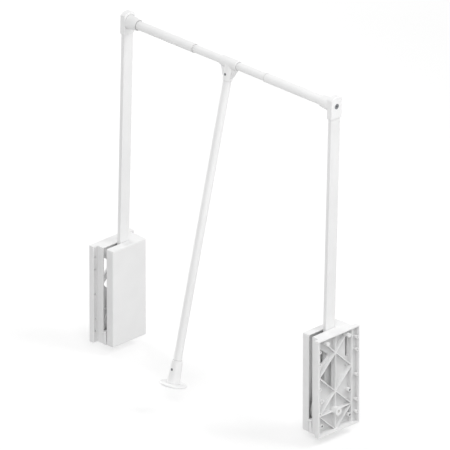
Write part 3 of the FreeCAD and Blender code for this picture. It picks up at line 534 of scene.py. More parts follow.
@dataclass(frozen=True)
class PaintedRecessShade:
    """The hollows in the ribbed back of a base, which get a painted shade: a darker tone that
    stands in for the shade between the ribs and behind the flanges.

    Attributes:
        field_span: Distances from the wall over which the field between the ribs darkens.
        field_side: Half the width of this field.
        rim_span: Distances from the wall over which the hollows behind the flanges darken.
        rim_tone: How dark these hollows end, where the field ends at 1.
        rim_sides: Distances from the middle between which they lie.
        half_height: Half the height of both.
        reach: Distance from the wall at which both end.
    """

    field_span: tuple[float, float] = (10.6 * MM, 18 * MM)
    field_side: float = 52.2 * MM
    rim_span: tuple[float, float] = (1 * MM, 8 * MM)
    rim_tone: float = 1.2
    rim_sides: tuple[float, float] = (55 * MM, 65.7 * MM)
    half_height: float = 122.2 * MM
    reach: float = 23.5 * MM

    def group(self, span: float) -> Tree:
        """Build the group that marks how deep a point lies in the hollows, for their painted shade.

        Args:
            span: Distance between the two wall planes.

        Returns:
            A group with the output Depth, 0 on the ribs' lands and 1 on the floor between them.
        """
        tree, _, sink = new_group("painted_recess_shade", (), (("Depth", "NodeSocketFloat"),))
        place = tree.nodes.new("ShaderNodeTexCoord").outputs["Object"]
        axes = tree.nodes.new("ShaderNodeSeparateXYZ")
        tree.links.new(place, axes.inputs["Vector"])
        wall = arithmetic(tree, "MINIMUM", axes.outputs["X"],
                          arithmetic(tree, "SUBTRACT", span, axes.outputs["X"]))
        side = arithmetic(tree, "ABSOLUTE", axes.outputs["Y"], 0.0)
        height = arithmetic(tree, "ABSOLUTE", axes.outputs["Z"], 0.0)
        ribs = product(tree, remap(tree, wall, self.field_span, UNIT_RANGE),
                       arithmetic(tree, "LESS_THAN", side, self.field_side))
        rim = product(tree, remap(tree, wall, self.rim_span, (0.0, self.rim_tone)),
                      arithmetic(tree, "GREATER_THAN", side, self.rim_sides[0]),
                      arithmetic(tree, "LESS_THAN", side, self.rim_sides[1]))
        depth = product(tree, arithmetic(tree, "MAXIMUM", ribs, rim),
                        arithmetic(tree, "LESS_THAN", height, self.half_height),
                        arithmetic(tree, "LESS_THAN", wall, self.reach))
        tree.links.new(depth, sink.inputs["Depth"])
        return tree


def crevice_shade_group() -> Tree:
    """Build the group that marks crevices, where one surface stands close to another, so that they
    take a painted shade.

    Returns:
        A group with the input Reach and the output Depth, 0 on open faces and 1 in a crevice.
    """
    tree, source, sink = new_group("crevices", (("Reach", "NodeSocketFloat", 3 * MM),),
                                   (("Depth", "NodeSocketFloat"),))
    open_span = (0.9, 0.4)
    nearness = tree.nodes.new("ShaderNodeAmbientOcclusion")
    nearness.samples = CREVICE_SAMPLES
    tree.links.new(source.outputs["Reach"], nearness.inputs["Distance"])
    depth = remap(tree, nearness.outputs["AO"], open_span, UNIT_RANGE)
    tree.links.new(depth, sink.inputs["Depth"])
    return tree


@dataclass(frozen=True)
class Groups:
    """The shader groups that the finishes share.

    Attributes:
        grain: Surface grain and slow variation.
        pores: Pits of the mould.
        edges: Softened edges, marked for a painted highlight.
        rubs: Rub marks.
        recess: Depth in the ribbed backs, which sets their painted shade.
        crevices: Nearness of another surface, which sets a painted shade.
    """

    grain: Tree
    pores: Tree
    edges: Tree
    rubs: Tree
    recess: Tree
    crevices: Tree

    @classmethod
    def build(cls, span: float) -> "Groups":
        """Build every group; the span is the distance between the two wall planes."""
        return cls(grain=grain_group(), pores=pore_group(), edges=edge_group(), rubs=rub_group(),
                   recess=PaintedRecessShade().group(span), crevices=crevice_shade_group())


# ---------------------------------------------------------------- finishes


def grey(level: float, warmth: float = 0.0) -> Colour:
    """Return a grey, a little warm or cool."""
    return (level + warmth, level, level - warmth)


@dataclass(frozen=True)
class Finish:
    """A surface finish, from which a material is made.

    Attributes:
        name: Name of its material.
        colour: Main colour, linear.
        second: Colour of the slow variation, linear.
        edge_highlight_colour: Colour that sharp edges take on, linear: a painted highlight, with a
            little edge wear.
        rub_colour: Colour of the rub marks, linear.
        roughness: Lowest and highest roughness.
        metallic: Metallic weight.
        specular: Specular level.
        coat: Weight of a clear coat.
        grain_size: Size of the surface grain.
        grain_depth: Height of the surface grain.
        cloud_size: Size of the slow variation.
        pore_size: Size of the mould's pits.
        pore_depth: Depth of the mould's pits; 0 leaves them out.
        edge_radius: Radius by which sharp edges are softened in the shading.
        stretch: Scale of the grain along x, y and z; small numbers draw it out.
        rub_stretch: Scale of the rub marks along x, y and z; small along the marks.
        rub_amount: Strength of the rub marks.
        rub_roughness: Roughness that they add.
        recess_shade_amount: Strength of the painted shade deep between the ribs.
        recess_shade_colour: Colour of that painted shade, linear.
        crevice_shade_amount: Strength of the painted shade where two surfaces meet.
        crevice_shade_colour: Colour of that painted shade, linear.
        crevice_reach: How far from the other surface it goes.
    """

    name: str
    colour: Colour
    second: Colour
    edge_highlight_colour: Colour
    roughness: tuple[float, float]
    rub_colour: Colour = (0.70, 0.70, 0.69)
    metallic: float = 0.0
    specular: float = 0.5
    coat: float = 0.0
    grain_size: float = 0.45 * MM
    grain_depth: float = 0.03 * MM
    cloud_size: float = 70 * MM
    pore_size: float = 0.8 * MM
    pore_depth: float = 0.0
    edge_radius: float = 0.6 * MM
    stretch: tuple[float, float, float] = (1.0, 1.0, 1.0)
    rub_stretch: tuple[float, float, float] = (1.0, 1.0, 1.0)
    rub_amount: float = 0.0
    rub_roughness: float = 0.2
    recess_shade_amount: float = 0.0
    recess_shade_colour: Colour = (0.45, 0.45, 0.45)
    crevice_shade_amount: float = 0.0
    crevice_shade_colour: Colour = (0.25, 0.25, 0.25)
    crevice_reach: float = 4 * MM

    def material(self, groups: Groups) -> bpy.types.Material:
        """Build the material.

        Args:
            groups: The shared shader groups.

        Returns:
            A node material with this finish's name.
        """
        made = bpy.data.materials.new(self.name)
        made.use_nodes = True
        tree = made.node_tree
        shader = tree.nodes["Principled BSDF"]
        grain = self.group(tree, groups.grain, {
            "Grain Size": self.grain_size, "Cloud Size": self.cloud_size,
            "Stretch": self.stretch})
        edges = self.group(tree, groups.edges, {"Radius": self.edge_radius})
        colour = blended(tree, grain["Cloud"], self.colour, self.second)
        rough = remap(tree, grain["Cloud"], UNIT_RANGE, self.roughness)
        if self.rub_amount:
            rubs = self.group(tree, groups.rubs, {
                "Stretch": self.rub_stretch, "Amount": self.rub_amount})
            colour = blended(tree, rubs["Mask"], colour, self.rub_colour)
            rough = arithmetic(tree, "ADD", rough,
                               product(tree, rubs["Mask"], self.rub_roughness))
        # Painted highlight: sharp edges turn lighter, with a little edge wear.
        colour = blended(tree, edges["Edge"], colour, self.edge_highlight_colour)
        # Painted shade: the colour darkens deep between the ribs of a base's back.
        if self.recess_shade_amount:
            recess = self.group(tree, groups.recess, {})
            depth = product(tree, recess["Depth"], self.recess_shade_amount)
            colour = blended(tree, depth, colour, self.recess_shade_colour)
        # Painted shade: the colour darkens where one surface stands close to another.
        if self.crevice_shade_amount:
            crevices = self.group(tree, groups.crevices, {"Reach": self.crevice_reach})
            depth = product(tree, crevices["Depth"], self.crevice_shade_amount)
            colour = blended(tree, depth, colour, self.crevice_shade_colour)
        tree.links.new(colour, shader.inputs["Base Color"])
        tree.links.new(rough, shader.inputs["Roughness"])
        normal = self.bump(tree, grain["Height"], self.grain_depth, edges["Normal"])
        if self.pore_depth:
            pores = self.group(tree, groups.pores, {"Size": self.pore_size})
            normal = self.bump(tree, pores["Height"], self.pore_depth, normal)
        tree.links.new(normal, shader.inputs["Normal"])
        shader.inputs["Metallic"].default_value = self.metallic
        shader.inputs["Specular IOR Level"].default_value = self.specular
        shader.inputs["Coat Weight"].default_value = self.coat
        return made

    @staticmethod
    def group(tree: Tree, which: Tree, values: dict[str, Any]) -> dict[str, Socket]:
        """Place a shared group in a material.

        Args:
            tree: The material's nodes.
            which: The group.
            values: The material's own values for the group's inputs.

        Returns:
            The group's outputs, by name.
        """
        node = tree.nodes.new("ShaderNodeGroup")
        node.node_tree = which
        for label, number in values.items():
            node.inputs[label].default_value = number
        return dict(node.outputs.items())

    @staticmethod
    def bump(tree: Tree, height: Socket, depth: float, normal: Socket) -> Socket:
        """Add a bump on top of a normal.

        Args:
            tree: The material's nodes.
            height: The height, between 0 and 1.
            depth: How high 1 stands, in metres.
            normal: The normal that is bent.

        Returns:
            The new normal.
        """
        node = tree.nodes.new("ShaderNodeBump")
        node.inputs["Strength"].default_value = 1.0
        node.inputs["Distance"].default_value = depth
        tree.links.new(height, node.inputs["Height"])
        tree.links.new(normal, node.inputs["Normal"])
        return node.outputs["Normal"]


MOULDED = {"grain_size": 0.45 * MM, "grain_depth": 0.020 * MM, "pore_depth": 0.025 * MM}
# The satin finishes paint shade into their crevices through crevice_shade_amount.
SATIN = {"grain_size": 0.35 * MM, "grain_depth": 0.012 * MM, "pore_size": 0.6 * MM,
         "pore_depth": 0.008 * MM, "crevice_shade_amount": 0.65}
STEEL = {"metallic": 1.0, "grain_size": 0.25 * MM, "grain_depth": 0.008 * MM,
         "cloud_size": 6 * MM, "edge_radius": 0.25 * MM}

# Besides each finish's own colours, the edge colours paint a highlight, with a little wear, on
# sharp edges. recess_shade_amount paints shade between the base's ribs, and crevice_shade_amount
# paints shade where surfaces meet, nearly black in the screws' recesses.
FINISHES = {
    Slot.BASE: Finish("moulded_base", grey(0.84), grey(0.87), grey(0.92), (0.46, 0.54),
                      recess_shade_amount=0.32, **MOULDED),
    Slot.COVER: Finish("moulded_cover", grey(0.84), grey(0.87), grey(0.90), (0.46, 0.54),
                       **MOULDED),
    Slot.BRACKET: Finish("moulded_bracket", grey(0.87), grey(0.90), grey(0.93), (0.36, 0.44),
                         **SATIN),
    Slot.FOOT: Finish("moulded_foot", grey(0.90), grey(0.93), grey(0.95), (0.36, 0.44),
                      **(SATIN | {"crevice_shade_amount": 0.35})),
    Slot.STOP: Finish("stop_plastic", grey(0.90), grey(0.92), grey(0.95), (0.34, 0.42), **SATIN),
    Slot.BUSH: Finish("bush_plastic", grey(0.78, 0.004), grey(0.82, 0.004), grey(0.86),
                      (0.30, 0.38), **SATIN),
    Slot.BUFFER: Finish("buffer_rubber", grey(0.018), grey(0.028), grey(0.05), (0.70, 0.85),
                        grain_size=0.5 * MM, grain_depth=0.05 * MM),
    Slot.ARM: Finish("painted_arm", grey(0.84), grey(0.87), grey(0.90), (0.40, 0.48),
                     grain_size=0.9 * MM, grain_depth=0.03 * MM,
                     rub_stretch=(1.0, 1.0, 0.03), rub_amount=0.25),
    Slot.RAIL: Finish("painted_rail", grey(0.88), grey(0.91), grey(0.94), (0.34, 0.42),
                      grain_size=1.1 * MM, grain_depth=0.014 * MM,
                      rub_stretch=(0.03, 1.0, 1.0), rub_amount=0.22, crevice_shade_amount=0.65),
    Slot.DRUM: Finish("painted_drum", grey(0.80), grey(0.84), grey(0.88), (0.40, 0.48),
                      grain_size=0.9 * MM, grain_depth=0.02 * MM, rub_amount=0.4,
                      rub_stretch=(1.0, 0.2, 0.2)),
    Slot.DARK: Finish("dark_steel", grey(0.20, -0.01), grey(0.29, -0.012), grey(0.45, -0.01),
                      (0.26, 0.38), crevice_shade_amount=1.0, crevice_shade_colour=grey(0.008),
                      crevice_reach=2.5 * MM, **STEEL),
    Slot.PLATED: Finish("plated_steel", grey(0.50, 0.01), grey(0.62, 0.01), grey(0.72),
                        (0.26, 0.40), **STEEL),
    Slot.SPRING: Finish("spring_steel", grey(0.16), grey(0.24), grey(0.40), (0.30, 0.44),
                        **STEEL),
}


class Palette:
    """All materials of the object, by slot."""

    def __init__(self, span: float) -> None:
        """Build the shader groups and the materials.

        Args:
            span: Distance between the two wall planes.
        """
        groups = Groups.build(span)
        self.materials = {slot: finish.material(groups) for slot, finish in FINISHES.items()}

    def dress(self, piece: bpy.types.Object, slot: Slot) -> None:
        """Give a new piece a slot and its material.

        Args:
            piece: The piece.
            slot: Its slot in the record.
        """
        piece.data.materials.clear()
        piece.data.materials.append(self.materials[slot])

    def dress_frame(self, frame: dict[str, Any]) -> None:
        """Give every CAD node the material of its slot in the record.
        """
        slots = {part["node"]: part["material_slot"] for part in frame["record"]["subparts"]}
        for name, node in frame["nodes"].items():
            node.data.materials.clear()
            node.data.materials.append(self.materials[Slot(slots[name])])
            LOG.info("dressed %s as %s", name, node.data.materials[0].name)


# ---------------------------------------------------------------- springs


@dataclass(frozen=True)
class TorsionSpring:
    """The spring round one drum's hub, wound up as the arm comes down.

    It is modelled in the arm's frame: its first leg goes up the drum, its last one down the cover.

    Attributes:
        side: The half that it belongs to.
        start: Distance of its first coil's middle from the wall.
        radius: Radius of its coils.
        wire: Diameter of its wire.
        pitch: Distance between its coils.
        turns: Number of coils.
        leg: Length of each straight leg.
        end_round: Rounding of the wire's two cut ends.
        steps: Segments in one coil.
        wire_steps: Segments round the wire.
    """

    side: Side
    start: float = 51.15 * MM
    radius: float = 24 * MM
    wire: float = 4.2 * MM
    pitch: float = 4.4 * MM
    turns: int = 2
    leg: float = 30 * MM
    end_round: float = 0.5 * MM
    steps: int = 64
    wire_steps: int = 20

    def build(self, layout: Layout) -> bpy.types.Object:
        """Build the spring in its place at rest, between its housing and its arm.

        Args:
            layout: The shared places.

        Returns:
            The spring.
        """
        shape = self.wind()
        mirror = layout.to_side(self.side)
        place = mirror @ layout.on_arm() @ Matrix.Translation((self.start, 0, 0))
        bmesh.ops.transform(shape, matrix=place @ Z_ONTO_X, verts=shape.verts)
        spring = finish_piece(self.side.name_of("coil_spring"), shape)
        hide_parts(self.side.name_of("torsion_spring"))
        self.side.name_of("housing")
        self.side.name_of("arm")
        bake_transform(spring)
        return spring

    def wind(self) -> Shape:
        """Wind the spring about the z axis.

        Returns:
            The spring, from its first leg to its last, with rounded ends.
        """
        shape = bmesh.new()
        bmesh.ops.create_circle(shape, cap_ends=True, radius=self.wire / 2,
                                segments=self.wire_steps)
        bmesh.ops.rotate(shape, verts=shape.verts, cent=(0, 0, 0),
                         matrix=Matrix.Rotation(QUARTER_TURN, 3, "X"))
        bmesh.ops.translate(shape, verts=shape.verts, vec=(self.radius, self.leg, 0))
        self.draw_leg(shape)
        section = self.cap(shape, lambda middle: -middle.y)
        bmesh.ops.spin(shape, geom=[section, *section.edges, *section.verts], cent=(0, 0, 0),
                       axis=(0, 0, 1), dvec=(0, 0, self.pitch / self.steps),
                       angle=-self.turns * FULL_TURN, steps=self.turns * self.steps,
                       use_merge=False, use_duplicate=False)
        self.draw_leg(shape)
        rims = {edge for face in self.caps(shape) for edge in face.edges}
        soften_edges(shape, rims, self.end_round)
        return shape

    def draw_leg(self, shape: Shape) -> None:
        """Draw a straight leg towards -y out of the wire's newest end, its highest cap.

        Args:
            shape: The spring so far.
        """
        end = self.cap(shape, lambda middle: middle.z)
        made = bmesh.ops.extrude_face_region(shape, geom=[end])
        moved = [item for item in made["geom"] if isinstance(item, bmesh.types.BMVert)]
        bmesh.ops.translate(shape, verts=moved, vec=(0, -self.leg, 0))

    def cap(self, shape: Shape, rank: Callable[[Vector], float]) -> bmesh.types.BMFace:
        """Return the wire's end cap whose middle ranks highest."""
        return max(self.caps(shape), key=lambda face: rank(face.calc_center_median()))

    def caps(self, shape: Shape) -> list[bmesh.types.BMFace]:
        """Return the flat ends of the wire."""
        return [face for face in shape.faces if len(face.verts) == self.wire_steps]


# ---------------------------------------------------------------- fasteners


@dataclass(frozen=True)
class Screw:
    """One screw along x, with the top of its head at x = 0.

    Attributes:
        head_radius: Radius of the head.
        head_height: Height of the head, or of its cone.
        countersunk: Whether the head is a flat cone; otherwise it is a pan head.
        drive: Kind of recess.
        drive_radius: Radius of the recess.
        drive_depth: Depth of the recess.
        shank_radius: Outer radius of the thread.
        length: Length under the head, or with the head where it is countersunk.
        pitch: Distance between the thread's crests.
        thread_depth: Depth of the thread.
        edge: Bevel of the head's rim.
        rim: Radius of the flat round the recess, as a share of the recess's own.
        side: Straight side of a pan head, as a share of its height.
        land: Where the cone of a flat head starts, as a share of its bevel.
        crest: Where a crest of the thread starts, where it ends and where its root starts, as
            shares of the pitch.
        wing: Half the width of a cross recess's wing, as a share of its radius.
        draft: Share to which the recess narrows at its floor.
        steps: Segments round the screw.
    """

    head_radius: float
    head_height: float
    countersunk: bool
    drive: Drive
    drive_radius: float
    drive_depth: float
    shank_radius: float
    length: float
    pitch: float
    thread_depth: float
    edge: float = 0.25 * MM
    rim: float = 1.25
    side: float = 0.45
    land: float = 1.6
    crest: tuple[float, float, float] = (0.35, 0.45, 0.8)
    wing: float = 0.26
    draft: float = 0.82
    steps: int = 32

    def shape(self) -> Shape:
        """Build the screw's mesh.

        Returns:
            A closed mesh with its normals outwards.
        """
        shape = bmesh.new()
        lathe(shape, self.head() + self.thread(), self.steps)
        self.recess(shape)
        bmesh.ops.recalc_face_normals(shape, faces=shape.faces)
        return shape

    def head(self) -> list[tuple[float, float]]:
        """Draw the head's profile.

        Returns:
            Its corners from the rim of the recess to the shank, as place along x and radius.
        """
        rim = self.drive_radius * self.rim
        if self.countersunk:
            return [(0, rim), (0, self.head_radius - self.edge),
                    (self.edge, self.head_radius), (self.edge * self.land, self.head_radius),
                    (self.head_height, self.shank_radius)]
        drop = self.head_height - self.head_height * self.side
        crown = [(drop * (1 - math.cos(angle)),
                  rim + (self.head_radius - rim) * math.sin(angle)) for angle in DOME_ANGLES]
        return crown + [(self.head_height, self.head_radius),
                        (self.head_height, self.shank_radius)]

    def thread(self) -> list[tuple[float, float]]:
        """Draw the profile of the threaded shank.

        Returns:
            Its corners from the head to the tip, as place along x and radius.
        """
        end = self.length if self.countersunk else self.length + self.head_height
        start = self.head_height + self.pitch
        core = self.shank_radius - self.thread_depth
        count = int((end - self.shank_radius - start) / self.pitch)
        radii = (self.shank_radius, self.shank_radius, core)
        profile = [(start - self.pitch / 2, self.shank_radius)]
        for turn in range(count):
            base = start + turn * self.pitch
            profile += [(base, core)] + [(base + self.pitch * share, radius)
                                         for share, radius in zip(self.crest, radii)]
        return profile + [(end - self.shank_radius, core), (end, 0)]

    def outline(self, shape: Shape) -> list[bmesh.types.BMEdge]:
        """Draw the outline of the recess at x = 0.

        Args:
            shape: The screw so far.

        Returns:
            The outline's edges.
        """
        if self.drive is Drive.HEXAGON:
            made = bmesh.ops.create_circle(shape, radius=self.drive_radius, segments=6)
            corners = made["verts"]
            bmesh.ops.rotate(shape, verts=corners, cent=(0, 0, 0),
                             matrix=Matrix.Rotation(QUARTER_TURN, 3, "Y"))
            return list({edge for corner in corners for edge in corner.link_edges})
        wing = self.drive_radius * self.wing
        quarter = [(self.drive_radius, -wing), (self.drive_radius, wing), (wing, wing)]
        corners = [shape.verts.new(Matrix.Rotation(quarter_turns * QUARTER_TURN, 3, "X")
                                   @ Vector((0, across, up)))
                   for quarter_turns in range(4) for across, up in quarter]
        return [shape.edges.new(pair) for pair in zip(corners, corners[1:] + corners[:1])]

    def recess(self, shape: Shape) -> None:
        """Close the head's top round the recess and sink the recess.

        Args:
            shape: The screw so far, open at the recess's rim.
        """
        rim = open_edges(shape)
        drive = self.outline(shape)
        bmesh.ops.triangle_fill(shape, edges=rim + drive, use_beauty=True)
        wall = bmesh.ops.extrude_edge_only(shape, edges=drive)
        floor = [item for item in wall["geom"] if isinstance(item, bmesh.types.BMVert)]
        bmesh.ops.translate(shape, verts=floor, vec=(self.drive_depth, 0, 0))
        bmesh.ops.scale(shape, verts=floor, vec=(1, self.draft, self.draft))
        bmesh.ops.edgeloop_fill(shape, edges=open_edges(shape))


@dataclass(frozen=True)
class CoverScrews:
    """The three pan head screws that hold a cover, driven in from the wall's side.

    Attributes:
        side: The half that they belong to.
        top: Distance of their heads' tops from the wall.
        places: Their places across and up.
        screw: The screw itself.
    """

    side: Side
    top: float = 10.0 * MM
    places: tuple[tuple[float, float], ...] = ((46 * MM, -38 * MM), (46 * MM, -102 * MM),
                                               (-46 * MM, -102 * MM))
    screw: Screw = Screw(3.3 * MM, 2.4 * MM, False, Drive.CROSS, 1.7 * MM, 1.5 * MM, 1.75 * MM,
                         40 * MM, 1.3 * MM, 0.35 * MM)

    def build(self, layout: Layout) -> bpy.types.Object:
        """Build the three screws.

        Args:
            layout: The shared places.

        Returns:
            The screws as one piece.
        """
        mirror = layout.to_side(self.side)
        places = [mirror @ Matrix.Translation((self.top, across, up))
                  for across, up in self.places]
        screws = finish_piece(self.side.name_of("pan_screws"), copy_to(self.screw.shape(), places))
        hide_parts(self.side.name_of("cover_screws"))
        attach(screws, self.side.name_of("housing"))
        return screws


@dataclass(frozen=True)
class BracketScrew:
    """The countersunk socket screw that holds the rail to a bracket.

    Attributes:
        side: The half that it belongs to.
        top: Distance of its head's top from the wall.
        screw: The screw itself.
    """

    side: Side
    top: float = 31.8 * MM
    screw: Screw = Screw(6.75 * MM, 1.9 * MM, True, Drive.HEXAGON, 2.5 * MM, 1.5 * MM, 3.0 * MM,
                         28 * MM, 1.0 * MM, 0.4 * MM, steps=48)

    def build(self, layout: Layout) -> bpy.types.Object:
        """Build the screw.

        Args:
            layout: The shared places.

        Returns:
            The screw.
        """
        place = layout.to_side(self.side) @ Matrix.Translation(
            (self.top, layout.rail.y, layout.rail.z))
        shape = copy_to(self.screw.shape(), [place])
        piece = finish_piece(self.side.name_of("socket_screw"), shape)
        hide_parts(self.side.name_of("bracket_screw"))
        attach(piece, self.side.name_of("arm"))
        return piece


@dataclass(frozen=True)
class HandleScrews:
    """The two small socket screws in the tee and in the foot.

    Attributes:
        places: Distance of each head's top from the handle's axis, and its place down the handle,
            for the tee and for the foot.
        screw: The screw itself.
    """

    places: tuple[tuple[float, float], ...] = ((11.6 * MM, 27 * MM), (13.7 * MM, 750 * MM))
    screw: Screw = Screw(3.25 * MM, 1.2 * MM, True, Drive.HEXAGON, 1.5 * MM, 1.0 * MM, 1.6 * MM,
                         5.6 * MM, 0.6 * MM, 0.25 * MM)

    def build(self, layout: Layout) -> bpy.types.Object:
        """Build both screws.

        Args:
            layout: The shared places.

        Returns:
            The screws as one piece.
        """
        inwards = Matrix.Rotation(QUARTER_TURN, 4, "Z")
        places = [layout.on_handle() @ Matrix.Translation((0, -out, -down)) @ inwards
                  for out, down in self.places]
        piece = finish_piece("handle_socket_screws", copy_to(self.screw.shape(), places))
        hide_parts("handle_screws")
        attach(piece, "handle")
        return piece


@dataclass(frozen=True)
class ArmRivets:
    """The two rivets between an arm and its drum, domed on the drum's side.

    Attributes:
        side: The half that they belong to.
        start: Distance of their flat heads from the wall.
        drum_back: Distance of the drum's back from the wall.
        shank: Radius of the shank.
        head: Radius of the heads.
        head_sink: Thickness of the flat head.
        gap: Space between the drum and the domed head.
        dome: Height of the domed head.
        heights: Their places above the pivot.
        steps: Segments round a rivet.
    """

    side: Side
    start: float = 34.0 * MM
    drum_back: float = 47.55 * MM
    shank: float = 3.0 * MM
    head: float = 4.5 * MM
    head_sink: float = 0.75 * MM
    gap: float = 0.05 * MM
    dome: float = 1.4 * MM
    heights: tuple[float, ...] = (20 * MM, 35 * MM)
    steps: int = 32

    def build(self, layout: Layout) -> bpy.types.Object:
        """Build both rivets.

        Args:
            layout: The shared places.

        Returns:
            The rivets as one piece.
        """
        top = self.drum_back + self.gap
        dome = [(top + self.dome * math.sin(angle), self.head * math.cos(angle))
                for angle in DOME_ANGLES]
        chamfer = self.head_sink / 4
        shape = bmesh.new()
        lathe(shape, [(self.start, 0), (self.start, self.head - chamfer),
                      (self.start + chamfer, self.head),
                      (self.start + self.head_sink, self.head),
                      (self.start + self.head_sink, self.shank), (top, self.shank)] + dome,
              self.steps)
        places = [layout.to_side(self.side) @ layout.on_arm() @ Matrix.Translation((0, 0, height))
                  for height in self.heights]
        piece = finish_piece(self.side.name_of("domed_rivets"), copy_to(shape, places))
        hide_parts(self.side.name_of("arm_rivets"))
        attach(piece, self.side.name_of("arm"))
        return piece


# ---------------------------------------------------------------- rest buffer


@dataclass(frozen=True)
class RestBuffer:
    """The ribbed rubber block that the raised arm leans on.

    Attributes:
        side: The half that it belongs to.
        grooves: Number of grooves across its face.
        groove_width: Width of a groove.
        groove_depth: Depth of a groove.
        edge: Rounding of its edges.
    """

    side: Side
    grooves: int = 4
    groove_width: float = 1.6 * MM
    groove_depth: float = 0.9 * MM
    edge: float = 0.4 * MM

    def build(self) -> bpy.types.Object:
        """Build the buffer inside its node's box.

        Returns:
            The buffer.
        """
        low, high = (Vector(corner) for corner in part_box(self.side.name_of("rest_buffer")))
        size = high - low
        shape = bmesh.new()
        bmesh.ops.create_cube(shape, size=1.0)
        bmesh.ops.scale(shape, verts=shape.verts, vec=size)
        bmesh.ops.translate(shape, verts=shape.verts, vec=(low + high) / 2)
        step = size.z / self.grooves
        for groove in range(self.grooves):
            middle = low.z + step * (groove + 0.5)
            for height in (middle - self.groove_width / 2, middle + self.groove_width / 2):
                bmesh.ops.bisect_plane(shape, geom=[*shape.verts, *shape.edges, *shape.faces],
                                       plane_co=(0, 0, height), plane_no=(0, 0, 1))
            self.sink(shape, middle, low.y)
        sharp = [edge for edge in shape.edges if edge.calc_face_angle(0) > SHARP_ANGLE]
        soften_edges(shape, sharp, self.edge)
        piece = finish_piece(self.side.name_of("ribbed_buffer"), shape)
        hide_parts(self.side.name_of("rest_buffer"))
        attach(piece, self.side.name_of("housing"))
        return piece

    def sink(self, shape: Shape, middle: float, face: float) -> None:
        """Sink a strip of the front face into a groove.

        Args:
            shape: The buffer so far.
            middle: Height of the strip's middle.
            face: Where the front face lies along y.
        """
        strip = [item for item in shape.faces
                 if abs(item.calc_center_median().z - middle) < self.groove_width / 2
                 and abs(item.calc_center_median().y - face) < FLAT_TOLERANCE]
        made = bmesh.ops.extrude_face_region(shape, geom=strip)
        moved = [item for item in made["geom"] if isinstance(item, bmesh.types.BMVert)]
        bmesh.ops.translate(shape, verts=moved, vec=(0, self.groove_depth, 0))
        bmesh.ops.delete(shape, geom=strip, context="FACES_ONLY")


# ---------------------------------------------------------------- studio


@dataclass(frozen=True)
class Lamp:
    """A square area lamp that points at the object.

    Attributes:
        name: Its name.
        azimuth: Its direction from the object, in degrees from the front towards +x.
        elevation: Its height over the object, in degrees.
        power: Its power in watts.
        distance: Its distance from the object.
        size: Its side.
    """

    name: str
    azimuth: float
    elevation: float
    power: float
    distance: float = 4.0
    size: float = 2.0

    def build(self, target: Vector) -> None:
        """Hang the lamp.

        Args:
            target: The place that it points at.
        """
        data = bpy.data.lights.new(self.name, "AREA")
        data.shape = "SQUARE"
        data.size = self.size
        data.energy = self.power
        turn, rise = math.radians(self.azimuth), math.radians(self.elevation)
        towards = Vector((math.sin(turn) * math.cos(rise), -math.cos(turn) * math.cos(rise),
                          math.sin(rise)))
        lamp = bpy.data.objects.new(self.name, data)
        lamp.location = target + towards * self.distance
        lamp.rotation_mode = "QUATERNION"
        lamp.rotation_quaternion = (-towards).to_track_quat("-Z", "Y")
        bpy.context.scene.collection.objects.link(lamp)


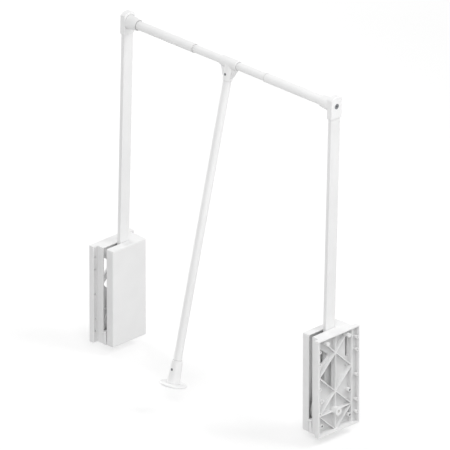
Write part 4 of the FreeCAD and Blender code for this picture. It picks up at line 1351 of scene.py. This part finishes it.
@dataclass(frozen=True)
class Studio:
    """Camera, lights, floor and background.

    Attributes:
        azimuth: Direction of the camera, in degrees.
        elevation: Height of the camera, in degrees.
        distance: Distance of the camera from the middle of the walls.
        lens: Focal length in millimetres.
        sensor: Width of the sensor in millimetres.
        aim_right: How far the picture's centre lies to the right of the middle.
        aim_up: How far it lies above the middle.
        clip: Nearest and furthest distance that the camera sees.
        floor_level: Height of the floor.
        floor_size: Half the side of the floor.
        floor_grey: Grey of the floor.
        floor_roughness: Roughness of the floor.
        floor_lift: What the floor adds to itself in the camera's eyes, so that it reads white.
        far_lift: The same far from the lamps.
        lift_span: Distances between which the first turns into the second.
        sky: Strength of the world's light on the object.
        lamps: The lamps.
    """

    azimuth: float = 45.05
    elevation: float = 25.16
    distance: float = 38.46
    lens: float = 1312.0
    sensor: float = 36.0
    aim_right: float = 3.0 * MM
    aim_up: float = 253.9 * MM
    clip: tuple[float, float] = (1.0, 200.0)
    floor_level: float = -150 * MM
    floor_size: float = 40.0
    floor_grey: float = 0.60
    floor_roughness: float = 0.9
    floor_lift: float = 0.43
    far_lift: float = 0.80
    lift_span: tuple[float, float] = (2.0, 6.0)
    sky: float = 0.50
    lamps: tuple[Lamp, ...] = (
        Lamp("front_light", 45, 34, 58.0),
        Lamp("right_light", 122, 42, 60.0),
        Lamp("left_light", 270, 15, 84.0),
    )

    def build(self, layout: Layout) -> None:
        """Set up the whole studio.

        Args:
            layout: The shared places.
        """
        middle = Vector((layout.span / 2, 0, 0))
        self.camera(middle)
        for lamp in self.lamps:
            lamp.build(middle + Vector((0, 0, layout.rail.z / 2)))
        self.floor()
        self.world()
        bpy.context.scene.view_settings.view_transform = "Standard"

    def camera(self, middle: Vector) -> None:
        """Place the camera.

        Args:
            middle: The point halfway between the two walls.
        """
        turn, rise = math.radians(self.azimuth), math.radians(self.elevation)
        right = Vector((math.cos(turn), math.sin(turn), 0))
        forward = Vector((-math.sin(turn) * math.cos(rise), math.cos(turn) * math.cos(rise),
                          -math.sin(rise)))
        up = right.cross(forward)
        place = middle - forward * self.distance
        aim = middle + right * self.aim_right + up * self.aim_up
        data = bpy.data.cameras.new("camera")
        data.lens = self.lens
        data.sensor_width = self.sensor
        data.clip_start, data.clip_end = self.clip
        camera = bpy.data.objects.new("camera", data)
        camera.location = place
        camera.rotation_mode = "QUATERNION"
        camera.rotation_quaternion = (aim - place).to_track_quat("-Z", "Y")
        bpy.context.scene.collection.objects.link(camera)
        bpy.context.scene.camera = camera

    def floor(self) -> None:
        """Lay the floor; it is white to the camera and keeps the object's shadow."""
        shape = bmesh.new()
        bmesh.ops.create_grid(shape, x_segments=1, y_segments=1, size=self.floor_size)
        bmesh.ops.translate(shape, verts=shape.verts, vec=(0, 0, self.floor_level))
        floor = finish_piece("floor", shape)
        made = bpy.data.materials.new("floor")
        made.use_nodes = True
        tree = made.node_tree
        shader = tree.nodes["Principled BSDF"]
        shader.inputs["Base Color"].default_value = (*grey(self.floor_grey), 1.0)
        shader.inputs["Roughness"].default_value = self.floor_roughness
        shader.inputs["Specular IOR Level"].default_value = 0.0
        shader.inputs["Emission Color"].default_value = WHITE
        place = tree.nodes.new("ShaderNodeTexCoord")
        away = tree.nodes.new("ShaderNodeVectorMath")
        away.operation = "LENGTH"
        tree.links.new(place.outputs["Object"], away.inputs[0])
        lift = remap(tree, away.outputs["Value"], self.lift_span,
                     (self.floor_lift, self.far_lift))
        lift = product(tree, self.seen(tree), lift)
        tree.links.new(lift, shader.inputs["Emission Strength"])
        floor.data.materials.append(made)

    @staticmethod
    def seen(tree: Tree) -> Socket:
        """Tell rays that show a surface from those that light another.

        Args:
            tree: The material's or the world's nodes.

        Returns:
            1 for rays from the camera or by way of gloss or glass, and 0 for the others.
        """
        path = tree.nodes.new("ShaderNodeLightPath")
        either = arithmetic(tree, "MAXIMUM", path.outputs["Is Camera Ray"],
                            path.outputs["Is Glossy Ray"])
        return arithmetic(tree, "MAXIMUM", either, path.outputs["Is Transmission Ray"])

    def world(self) -> None:
        """Make the background white and let it light the object softly."""
        world = bpy.data.worlds.new("studio")
        bpy.context.scene.world = world
        world.use_nodes = True
        tree = world.node_tree
        background = tree.nodes["Background"]
        background.inputs["Color"].default_value = WHITE
        strength = remap(tree, self.seen(tree), UNIT_RANGE, (self.sky, 1.0))
        tree.links.new(strength, background.inputs["Strength"])


def main() -> None:
    """Load the frame, dress it, build the detailed pieces and set up the studio."""
    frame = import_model()
    layout = Layout.from_frame(frame)
    palette = Palette(layout.span)
    palette.dress_frame(frame)
    for side in Side:
        palette.dress(TorsionSpring(side).build(layout), Slot.SPRING)
        palette.dress(CoverScrews(side).build(layout), Slot.DARK)
        palette.dress(BracketScrew(side).build(layout), Slot.DARK)
        palette.dress(ArmRivets(side).build(layout), Slot.PLATED)
        palette.dress(RestBuffer(side).build(), Slot.BUFFER)
    palette.dress(HandleScrews().build(layout), Slot.DARK)
    Studio().build(layout)


if __name__ == "__main__":
    logging.basicConfig(level=logging.INFO, format="%(message)s")
    main()
